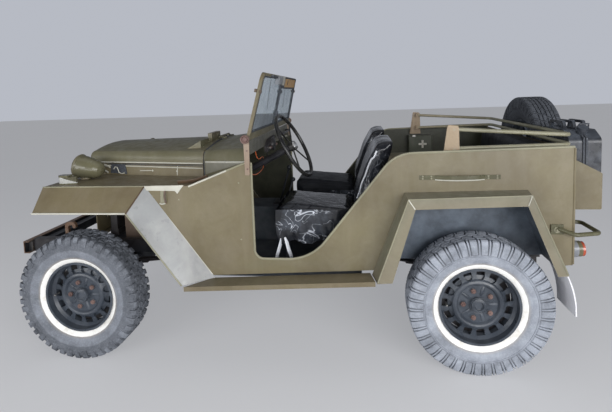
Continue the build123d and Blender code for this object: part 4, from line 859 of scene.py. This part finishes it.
# The clear film that hangs round the driver's cushion
def add_seat_film():
    """A creased skirt of film from the cushion's edge, its two tied ends and a pale streak of painted
    highlight along a fold.
    """
    low_x, high_x, near_y, far_y = 0.66 + rear_axle_x, 1.118 + rear_axle_x, 0.611, 0.129
    corners = ((low_x, near_y), (high_x, near_y), (high_x, far_y), (low_x, far_y))
    count = 46
    around = []
    for (x0, y0), (x1, y1) in zip(corners, corners[1:]):
        for step in range(count):
            around.append((x0 + (x1 - x0) * step / count, y0 + (y1 - y0) * step / count))
    around.append(corners[-1])
    middle = ((low_x + high_x) / 2, (near_y + far_y) / 2)
    top, drop, levels = 0.86, 0.2, 14
    rings = []
    for level in range(levels + 1):
        share = level / levels
        ring = []
        for index, (x, y) in enumerate(around):
            wave = 0.006 * sin(index * 0.61 + 1.7 * sin(index * 0.23))
            wave += 0.004 * sin(index * 1.37 + share * 5)
            outward = (Vector((x, y)) - Vector(middle)).normalized()
            gather = wave * share - 0.012 * share ** 3
            hem = 0.012 * sin(index * 0.37 + 0.8) * share
            ring.append((x + outward.x * gather, y + outward.y * gather, top - drop * share + hem))
        rings.append(ring)
    shape = Shape().loops(rings, closed=False, capped=False)
    film = piece("seat_film", shape, film_vinyl, "car_body", smooth=70)
    ends = Shape()
    for lean, x in ((0.035, 1.085), (-0.03, 1.065)):
        path = (
            (x, 0.6, 0.69), (x + lean * 0.5, 0.612, 0.63), (x + lean, 0.606, 0.575),
            (x + lean * 1.2, 0.6, 0.525),
        )
        ends.bars((0, 0.012, path, 0.25))
    # the pale streak down the backrest's side: a painted highlight where the film folds
    backrest_glint = (
        (0.634, 0.925), (0.616, 0.97), (0.607, 1.01), (0.584, 1.06),
        (0.567, 1.11), (0.549, 1.15), (0.531, 1.166), (0.517, 1.2),
    )
    ends.bars((0, 0.0065, [(x, 0.5985, z) for x, z in backrest_glint], 0.6))
    tied = piece("film_ends", ends, white_film, "car_body")


add_seat_film()


# Trim
def rounded_path(rows):
    """Points of a line through (across, up, corner radius) rows, with its corners as arcs."""
    points = []
    for index, (across, up, radius) in enumerate(rows):
        corner = Vector((across, up))
        if radius == 0:
            points.append(corner)
            continue
        before = (Vector(rows[index - 1][:2]) - corner).normalized()
        after = (Vector(rows[index + 1][:2]) - corner).normalized()
        half = before.angle(after) / 2
        centre = corner + (before + after).normalized() * (radius / sin(half))
        start = corner + before * (radius / tan(half)) - centre
        end = corner + after * (radius / tan(half)) - centre
        for step in range(9):
            points.append(centre + start.lerp(end, step / 8).normalized() * radius)
    return points


def disc(radius, thick):
    """The profile of a flat disc that stands out along Y."""
    return [(0, 0), (radius, 0), (radius, thick), (0, thick)]


def turned_at(shape, profile, steps, place, turn=Matrix()):
    """A turned form at a place in the shared frame."""
    shape.add(Shape().turned(profile, steps), Matrix.Translation(place) @ turn)


def bolt_head(size):
    """A washer and a six-sided head, which stand out along Y."""
    head = [(0, 0.001), (size, 0.001), (size, size * 0.7), (size * 0.8, size * 0.9), (0, size * 0.9)]
    return Shape().turned(disc(size * 1.5, size * 0.22), 18).turned(head, 6)


def rivets(shape, places, size):
    """Domed heads along +Y at places in the shared frame."""
    profile = [(0, 0), (size, 0), (size * 0.85, size * 0.4), (size * 0.45, size * 0.66), (0, size * 0.75)]
    for place in places:
        turned_at(shape, profile, 14, place)


def on_both_sides(name, shape, finishes, body="car_body"):
    """A left piece and its mirror image."""
    piece(name + "_left", shape, finishes, body)
    piece(name + "_right", shape.mirrored(), finishes, body)


side_y = 0.7285  # where the edges of the body's side run
skin_y = 0.7295  # its outer face
flare_y = 0.845  # the outer face of fenders and flares


def hood_side_y(x):
    """Half width of the hood's foot at a length from the rear axle."""
    return 0.326 + 0.142 * (2.44 - x) / 0.84


def flat_strip(shape, corners, y_low, y_high):
    """A flat plate on the body's side from (x, z) corners."""
    shape.loops([[car(x, y, z) for x, z in corners] for y in (y_low, y_high)])


def body_trim():
    """Rolled edges lightened with painted highlight, a worn flange with its latch, and the flare's creases as
    lines of painted highlight.
    """
    rail = (
        (1.223, 1.164, 0), (1.223, 0.608, 0.052), (0.901, 0.608, 0.271),
        (0.423, 1.202, 0.198), (-0.48, 1.222, 0),
    )
    lip = ((0.536, 0.53), (0.371, 0.978), (-0.232, 0.997), (-0.408, 0.59))
    flange = ((1.868, 1.037), (1.866, 1.01), (1.68, 1.007), (1.666, 0.99), (1.652, 1.008), (1.626, 1.04))
    latch = ((1.735, 0.936), (1.772, 0.936), (1.768, 1.008), (1.735, 1.008))
    shape = Shape()
    shape.bars(
        (0, 0.0062, [(x, side_y, z) for x, z in rounded_path(rail)]),
        (3, 0.0062, ((-0.482, side_y, 1.215), (-0.482, side_y, 0.602))),
        # the arch's lip and the creases at its corners, pale lines of painted highlight
        (0, 0.0042, [(x, flare_y - 0.001, z) for x, z in lip]),
        (1, 0.004, ((0.371, flare_y, 0.978), (0.338, flare_y, 0.928)), 0.6),
        (1, 0.004, ((-0.232, flare_y, 0.997), (-0.215, flare_y, 0.945)), 0.6),
        # the pale edge under the cowl and the body's front edge
        (1, 0.0055, ((1.598, side_y, 1.031), (1.369, side_y, 1.121))),
        (1, 0.005, ((1.86, side_y, 1.02), (1.485, side_y, 0.51))),
    )
    flat_strip(shape, flange, skin_y, 0.7345)
    shape.bars((0, 0.0055, ((1.369, side_y, 1.121), (1.245, side_y, 1.169))))
    flat_strip(shape, latch, skin_y, 0.733)
    places = ((1.82, 0.975), (1.66, 0.955), (1.3, 1.05), (1.3, 0.72))
    rivets(shape, [car(x, skin_y, z) for x, z in places], 0.005)
    # the latch's foot and bar
    shape.bars(
        (1, 0.004, ((1.738, 0.742, 0.936), (1.758, 0.746, 0.932), (1.772, 0.742, 0.936))),
        (2, 0.0055, ((1.739, 0.738, 1.008), (1.741, 0.742, 0.975), (1.737, 0.738, 0.936))),
    )
    turned_at(shape, disc(0.006, 0.002), 12, car(1.765, 0.732, 0.981))
    return shape


def fender_trim():
    """Beads on the flap and apron lightened with painted highlight, a dark line of painted shade in the
    fender's rear corner, and the apron's greyer skin, dusty and paler with a painted reflection.
    """
    skin = ((1.867, 0.7305, 1.035), (1.927, flare_y, 0.903), (1.624, flare_y, 0.49), (1.4685, 0.7305, 0.49))
    shape = Shape()
    shape.bars(
        (0, 0.0042, ((1.867, 0.73, 1.034), (2.512, 0.73, 1.034))),
        (0, 0.0045, ((1.927, flare_y, 0.903), (1.624, flare_y, 0.49))),
        (1, 0.0052, ((1.93, flare_y, 0.904), (2.505, flare_y, 0.904))),
        (2, 0.0042, ((1.867, 0.731, 1.033), (1.927, 0.846, 0.903))),
    )
    shape.kind = 3
    shape.loops([[car(x - lift, y, z + lift) for x, y, z in skin] for lift in (0.0004, 0.0016)])
    return shape


def cowl_trim():
    """The rubber between hood and cowl, and on each side a painted highlight along the shoulder's edge, a
    lighter panel of painted light and a brown strip of painted shade in the gutter.
    """
    across = [
        (0.468, 1.04), (0.468, 1.135), (0.4625, 1.165), (0.448, 1.188), (0.41, 1.202),
        (0.33, 1.2155), (0.2, 1.2305), (0.09, 1.2365), (0.0, 1.238),
    ]
    panel = ((1.58, 0.482, 1.055), (1.58, 0.482, 1.128), (1.275, 0.7045, 1.1635), (1.275, 0.7045, 1.16))
    edge = ((1.58, 0.482, 1.132), (1.42, 0.602, 1.149), (1.26, 0.716, 1.165))
    gutter_shade = ((1.69, 0.66, 1.036), (1.6, 0.64, 1.04), (1.52, 0.615, 1.062))
    rings = []
    for y, z in across + [(-y, z) for y, z in reversed(across[:-1])]:
        out = Vector((y, (z - 1.0) * 0.9)).normalized() * 0.0035
        low, high = car(1.582, y, z), car(1.598, y, z)
        lifted = Vector((0, out.x, out.y))
        rings.append([low, high, high + lifted, low + lifted])
    shape = Shape().loops(rings)
    for side in (1, -1):
        shape.bars((1, 0.006, [(x, side * y, z) for x, y, z in edge]))
        shape.kind = 2
        shape.loops([[car(x + lift, side * (y + lift), z) for x, y, z in panel] for lift in (0.0006, 0.0018)])
        shape.bars((3, 0.026, [(x, side * y, z) for x, y, z in gutter_shade], 0.4))
    return shape


def hood_side_trim():
    """Beads along the hood's side panel, a slot, a pin, the catch by the lamp and two pale patches of painted
    highlight.
    """
    def along(lift, *rows):
        return [(x, hood_side_y(x) + lift, z) for x, z in rows]

    shape = Shape()
    shape.bars(
        (1, 0.0028, along(-0.003, (2.33, 1.106), (1.61, 1.103))),
        (0, 0.0034, along(-0.003, (2.33, 1.096), (1.61, 1.088))),
        (0, 0.003, along(-0.002, (1.79, 1.1), (1.795, 1.04))),
        (0, 0.0028, along(-0.002, (2.076, 1.065), (1.99, 1.067))),
    )
    for place in along(-0.003, (1.979, 1.067), (1.795, 1.066)):
        turned_at(shape, [(0, 0), (0.007, 0), (0.005, 0.004), (0, 0.005)], 14, car(*place))
    # the catch's plate and spring, and two pale flat patches of painted highlight
    shape.kind = 1
    plate = ((2.31, 1.045), (2.18, 1.04), (2.19, 1.104), (2.3, 1.106))
    shape.loops([[car(*point) for point in along(lift, *plate)] for lift in (-0.004, 0.003)])
    spring = (
        (2.275, 1.075), (2.262, 1.09), (2.247, 1.088), (2.24, 1.07),
        (2.232, 1.052), (2.212, 1.044), (2.19, 1.05),
    )
    shape.bars(
        (0, 0.0034, along(0.014, *spring)),
        (0, 0.008, along(0.01, (2.345, 1.062), (2.325, 1.05)), 0.7),
        (0, 0.011, along(0.008, (2.35, 1.1), (2.31, 1.088)), 0.6),
    )
    return shape


def hood_trim():
    """A painted highlight along the fold at the foot of the hood."""
    shape = Shape()
    for side in (1, -1):
        shape.bars((0, 0.005, [(x, side * (hood_side_y(x) - 0.002), 1.12) for x in (2.41, 2.1, 1.8, 1.606)]))
    return shape


def shield_place():
    """The folding windshield's own frame: Y across, Z up its face."""
    return Matrix.Translation(car(1.243, 0, 1.3)) @ Matrix.Rotation(radians(-13.7), 4, "Y")


def windshield_trim():
    """Rubber round the panes, wipers with their motor, a bare plate and clips."""
    shape = Shape()
    # round each pane: across, up its face, radius of the corner
    around = (
        (0.3, 0.034, 0), (0.6727, 0.034, 0.01), (0.618, 0.361, 0.036), (0.007, 0.361, 0.004),
        (0.007, 0.034, 0.004), (0.3, 0.034, 0),
    )
    for side in (1, -1):
        for face, radius in ((-0.007, 0.0052), (0.006, 0.0045)):
            shape.tube([(face, side * y, z) for y, z in rounded_path(around)], radius)
    # a wiper in front of each pane
    for middle in (0.3, -0.3):
        arm = ((0.012, middle + 0.02, 0.35), (0.013, middle, 0.25), (0.009, middle - 0.02, 0.14))
        shape.tube(arm, 0.0022)
    # the plate's rim and its fixing, the dark parts by the motor and the bar's clips
    rim = (
        (-0.3, 0.3, 0), (-0.036, 0.3, 0.004), (-0.036, 0.375, 0.004), (-0.556, 0.375, 0.004),
        (-0.556, 0.3, 0.004), (-0.3, 0.3, 0),
    )
    shape.tube([(-0.017, y, z) for y, z in rounded_path(rim)], 0.006)
    shape.box((-0.021, -0.19, 0.325), (-0.015, -0.175, 0.358))
    shape.box((-0.026, 0.03, 0.298), (-0.008, 0.1, 0.33))
    shape.box((-0.026, 0.28, 0.362), (-0.008, 0.43, 0.378))
    for z in (0.115, 0.27):
        shape.box((-0.02, -0.013, z - 0.012), (0.014, 0.013, z + 0.012))
    # catches on both uprights
    shape.kind = 2
    for side in (1, -1):
        for offset in (-0.017, 0.011):
            shape.box((offset, side * 0.652 - 0.01, 0.262), (offset + 0.012, side * 0.652 + 0.01, 0.282))
    # the wiper motor's case, its bright plate and cable end
    shape.kind = 3
    case = ((0.16, 0.322), (0.262, 0.322), (0.262, 0.38), (0.16, 0.38))
    front = ((0.172, 0.33), (0.25, 0.33), (0.25, 0.372), (0.172, 0.372))
    levels = ((-0.008, case), (-0.036, case), (-0.042, front))
    shape.loops([[(x, y, z) for y, z in rows] for x, rows in levels])
    shape.kind = 1
    shape.box((-0.03, 0.02, 0.32), (-0.008, 0.135, 0.381))
    shape.tube([(-0.02, 0.135, 0.352), (-0.022, 0.162, 0.352)], 0.012)
    shape.kind = 4
    shape.box((-0.018, -0.553, 0.303), (-0.013, -0.039, 0.372))
    return Shape().add(shape, shield_place())


def pivot_trim():
    """Round knobs on the windshield's pivots and screws down its straps."""
    shape = Shape()
    # radius, along Y from the knob's inner face
    knob = [
        (0, 0.72), (0.02, 0.745), (0.0255, 0.756), (0.0255, 0.764), (0.0235, 0.7695),
        (0.018, 0.767), (0.0165, 0.764), (0.0145, 0.7705), (0.01, 0.7735), (0, 0.774),
    ]
    turned_at(shape, knob, 28, car(1.2435, 0, 1.3))
    for z in (1.233, 1.13):
        turned_at(shape, disc(0.005, 0.0012), 12, car(1.241, 0.739, z))
    return shape


def dash_trim():
    """An instrument panel with a round gauge, switches and a grab rail on the far side."""
    shape = Shape()
    panel = ((0.005, 1.168), (0.285, 1.16), (0.285, 1.196), (0.2, 1.238), (0.02, 1.246))
    shape.loops([[car(x, y, z) for y, z in panel] for x in (1.2425, 1.222)])
    gauge = [(0.0, 0.026), (0.02, 0.025), (0.037, 0.022), (0.041, 0.016), (0.041, 0)]
    to_rear = Matrix.Rotation(radians(90), 4, "Z")
    turned_at(shape, gauge, 30, car(1.222, 0.145, 1.197), to_rear)
    button = [(0, 0.0), (0.013, 0.0), (0.009, 0.006), (0, 0.007)]
    turned_at(shape, button, 18, car(1.197, 0.145, 1.192), to_rear)
    for y in (0.235, 0.262, 0.06, 0.035):
        knob = Shape().turned([(0, 0), (0.006, 0), (0.008, 0.016), (0.005, 0.02), (0, 0.021)], 14)
        knob.kinds = [1 if y > 0.25 else 2] * len(knob.kinds)
        shape.add(knob, Matrix.Translation(car(1.222, y, 1.185)) @ to_rear)
    rail = (
        (1.24, -0.2, 1.235), (1.205, -0.21, 1.235), (1.2, -0.24, 1.235),
        (1.2, -0.5, 1.235), (1.205, -0.53, 1.235), (1.24, -0.54, 1.235),
    )
    shape.bars((0, 0.008, rail))
    return shape


def lamp_trim():
    """The rim bead and foot of a headlight."""
    shape = Shape()
    tilt = Matrix.Rotation(radians(-12), 4, "Y") @ Matrix.Rotation(radians(-90), 4, "Z")
    bead = []
    for step in range(10):
        angle = 2 * pi * step / 10
        bead.append((0.0765 + 0.003 * cos(angle), 0.036 + 0.0045 * sin(angle)))
    turned_at(shape, bead, 60, car(2.4, 0.484, 1.111), tilt)
    upright = Matrix.Rotation(radians(90), 4, "X")
    turned_at(shape, [(0, 0), (0.034, 0), (0.031, 0.01), (0, 0.01)], 24, car(2.4, 0.484, 1.034), upright)
    return shape


def tail_trim():
    """A tail lamp's grey shell and rim."""
    shape = Shape()
    shell = [(0.0425, 0.0), (0.046, 0.004), (0.0435, 0.034)]
    shell += [(0.0452, 0.046), (0.0452, 0.056), (0.0412, 0.056)]
    turned_at(shape, shell, 40, car(-0.485, 0.63, 0.648), Matrix.Rotation(radians(90), 4, "Z"))
    return shape


def can_trim():
    """The can's double strap and the lever of its cap."""
    shape = Shape()
    shape.kind = 1
    rows = ((0.2555, 1.108), (0.2555, 1.25), (0.3, 1.2945), (0.53, 1.2945), (0.6045, 1.25), (0.6045, 1.108))
    half = 0.0045
    for x in (-0.6, -0.585):
        rings = []
        for y, z in rows:
            rings.append([car(x - half, y, z), car(x + half, y, z)])
            rings[-1] += [car(x + half, y * 1.004, z + 0.002), car(x - half, y * 1.004, z + 0.002)]
        shape.loops(rings)
    lever = ((-0.627, 0.56, 1.296), (-0.62, 0.578, 1.325), (-0.575, 0.578, 1.325), (-0.565, 0.56, 1.296))
    shape.bars((0, 0.005, lever))
    return shape


def box_trim():
    """The first-aid box's lid rim, latch and a plain pale cross."""
    shape = Shape()
    y = -0.6585
    rim = (
        (0.085, 1.002, 0), (0.183, 1.002, 0.006), (0.183, 1.146, 0.006), (-0.008, 1.146, 0.006),
        (-0.008, 1.002, 0.006), (0.085, 1.002, 0),
    )
    shape.bars((0, 0.0038, [(x, y, z) for x, z in rounded_path(rim)]))
    # kind, low and high corner
    boxes = (
        (1, (0.062, y - 0.004, 1.04), (0.078, y + 0.002, 1.106)),
        (1, (0.037, y - 0.004, 1.065), (0.103, y + 0.002, 1.081)),
        (2, (0.13, y - 0.003, 1.136), (0.155, y + 0.006, 1.152)),
    )
    for shape.kind, low, high in boxes:
        shape.box(car(*low), car(*high))
    return shape


def handle_trim():
    """Rivets on the side handle, a painted highlight along its lower edge, and the bolt of the rear loop."""
    shape = Shape()
    rivets(shape, [car(x, 0.734, z) for x in (-0.1, -0.055, 0.237, 0.282) for z in (1.064, 1.076)], 0.0055)
    shape.add(bolt_head(0.011), Matrix.Translation(car(-0.399, 0.738, 0.788)))
    arc = []
    for step in range(13):
        share = step / 6 - 1
        arc.append((0.091 + 0.126 * share, 0.733 + 0.03 * (1 - share * share), 1.0585))
    shape.bars((1, 0.0035, arc))
    return shape


def add_trim():
    """Every piece of trim with the finishes of its kinds."""
    on_both_sides("body_trim", body_trim(), (edge_highlight_paint, wear_and_highlight_paint, iron, olive))
    on_both_sides("fender_trim", fender_trim(), (edge_highlight_paint, wear_and_highlight_paint, umber, apron_dust_and_reflection_paint))
    on_both_sides("hood_side_trim", hood_side_trim(), (wear_and_highlight_paint, black_rubber))
    on_both_sides("pivot_trim", pivot_trim(), rust_red, "windshield")
    on_both_sides("lamp_trim", lamp_trim(), olive)
    on_both_sides("tail_trim", tail_trim(), grey_paint)
    on_both_sides("handle_trim", handle_trim(), (edge_highlight_paint, wear_and_highlight_paint))
    # piece: name, shape, finishes, body, slot, bevel
    single = (
        ("cowl_trim", cowl_trim(), (black_rubber, wear_and_highlight_paint, shoulder_light_paint, umber),
         "car_body", "body_olive", 0),
        ("hood_trim", hood_trim(), wear_and_highlight_paint, "engine_lid", "body_olive", 0),
        ("windshield_trim", windshield_trim(), (black_rubber, wear_and_highlight_paint, umber, grey_paint, orange_paint),
         "windshield", "black_plastic", 0.0012),
        ("dash_trim", dash_trim(), (chassis, steel, rust_red), "car_body", "black_plastic", 0),
        ("can_trim", can_trim(), (can_paint, black_rubber), "car_body", "can_black", 0),
        ("first_aid_trim", box_trim(), (box_paint, cross_paint, steel), "car_body", "box_olive", 0.0008),
    )
    for name, shape, finishes, body, slot, bevel in single:
        piece(name, shape, finishes, body, bevel=bevel)
    boss = [(0, 0.0), (0.03, 0.0), (0.031, 0.006), (0.025, 0.014), (0.012, 0.019), (0, 0.02)]
    hub = Shape().turned(boss, 36)
    slope = Matrix.Rotation(radians(27.4), 4, "Y") @ Matrix.Rotation(radians(90), 4, "Z")
    swing = Matrix.Rotation(radians(-5), 4, "Z")
    cap = Shape().add(hub, Matrix.Translation(car(1.032, 0.345, 1.2105)) @ swing @ slope)
    piece("hand_wheel_cap", cap, bright, "hand_wheel")


add_trim()


# Wires
def add_wire(name, finish, diameter, points):
    """A loose wire under the dash, drawn as a curve through its points."""
    data = bpy.data.curves.new(name, "CURVE")
    data.dimensions = "3D"
    line = data.splines.new("NURBS")
    line.points.add(len(points) - 1)
    for point, place in zip(line.points, points):
        point.co = (*car(*place), 1)
    line.order_u = 3
    line.use_endpoint_u = True
    data.bevel_depth = diameter / 2
    data.bevel_resolution = 3
    wire = bpy.data.objects.new(name, data)
    bpy.context.scene.collection.objects.link(wire)
    data.materials.append(finish)
    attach(wire, "car_body")
    return wire


def add_wires():
    """The orange wire and the black lead that hang below the dash."""
    # wire: name, finish, diameter, length, points
    wires = (
        ("dash_wire", wire_orange, 0.005, 0.82,
         ((1.262, 0.46, 1.225), (1.262, 0.455, 1.16), (1.265, 0.36, 1.12), (1.262, 0.24, 1.135),
          (1.262, 0.235, 1.05), (1.266, 0.36, 1.035), (1.262, 0.52, 1.05), (1.262, 0.62, 1.09),
          (1.262, 0.726, 1.085))),
        ("dash_lead", chassis, 0.007, 0.62,
         ((1.262, 0.16, 1.26), (1.264, 0.15, 1.17), (1.27, 0.05, 1.1), (1.3, 0.0, 1.02), (1.4, 0.04, 0.95),
          (1.5, 0.09, 0.92), (1.585, 0.1, 0.92))),
    )
    for name, finish, diameter, length, points in wires:
        wire = add_wire(name, finish, diameter, points)


add_wires()


# Stage
def add_stage():
    """A plain pale floor and soft studio light."""
    mesh = bpy.data.meshes.new("ground")
    size = 30
    mesh.from_pydata(
        [(-size, -size, 0), (size, -size, 0), (size, size, 0), (-size, size, 0)], [], [(0, 1, 2, 3)]
    )
    ground = bpy.data.objects.new("ground", mesh)
    bpy.context.scene.collection.objects.link(ground)
    f = Finish("ground")
    paving = f.add("ShaderNodeBsdfPrincipled", {
        "Base Color": f.mix(f.noise(0.7), (0.76, 0.76, 0.77), (0.8, 0.8, 0.81)), "Roughness": 0.9,
    })
    glow = f.add("ShaderNodeEmission", {"Color": (0.6, 0.61, 0.64)})
    seen = f.add("ShaderNodeLightPath").outputs["Is Camera Ray"]
    f.add("ShaderNodeOutputMaterial", {"Surface": f.blend(f.times(seen, 0.5), paving, glow)})
    mesh.materials.append(f.material)
    world = bpy.data.worlds.new("world")
    bpy.context.scene.world = world
    world.use_nodes = True
    sky = Finish("sky", world.node_tree, "Generated")
    # soft light from the sides, dim overhead; the camera sees a plain pale wall
    by_height = sky.ramp(sky.axis("Z"), 0.0, 0.6, 0.72, 0.1)
    level = sky.times(by_height, sky.ramp(sky.axis("Y"), -0.6, 0.6, 0.6, 1.0))
    seen = sky.add("ShaderNodeLightPath").outputs["Is Camera Ray"]
    light = sky.times(level, sky.maths("SUBTRACT", 1.0, seen))
    strength = sky.maths("ADD", light, sky.times(seen, 0.55))
    inputs = {"Color": (0.86, 0.9, 1.0), "Strength": strength}
    background = sky.add("ShaderNodeBackground", inputs)
    sky.add("ShaderNodeOutputWorld", {"Surface": background.outputs["Background"]})
    # lamp: name, place, looks at, width, height, watts
    lamps = (
        ("key", (-2.8, 5.2, 1.9), (0, 0.4, 0.6), 5.0, 2.2, 260),
        ("fill", (3.4, 5.0, 1.7), (0.3, 0.3, 0.6), 4.0, 2.0, 120),
        ("above", (0.2, 0.6, 5.0), (0, 0, 0.5), 4.6, 3.2, 25),
    )
    for name, place, target, width, height, watts in lamps:
        light = bpy.data.lights.new(name, "AREA")
        light.shape = "RECTANGLE"
        light.size, light.size_y = width, height
        light.energy = watts
        lamp = bpy.data.objects.new(name, light)
        lamp.location = place
        lamp.rotation_mode = "QUATERNION"
        lamp.rotation_quaternion = (Vector(target) - Vector(place)).to_track_quat("-Z", "Y")
        bpy.context.scene.collection.objects.link(lamp)
    bpy.context.scene.view_settings.view_transform = "Standard"


add_stage()
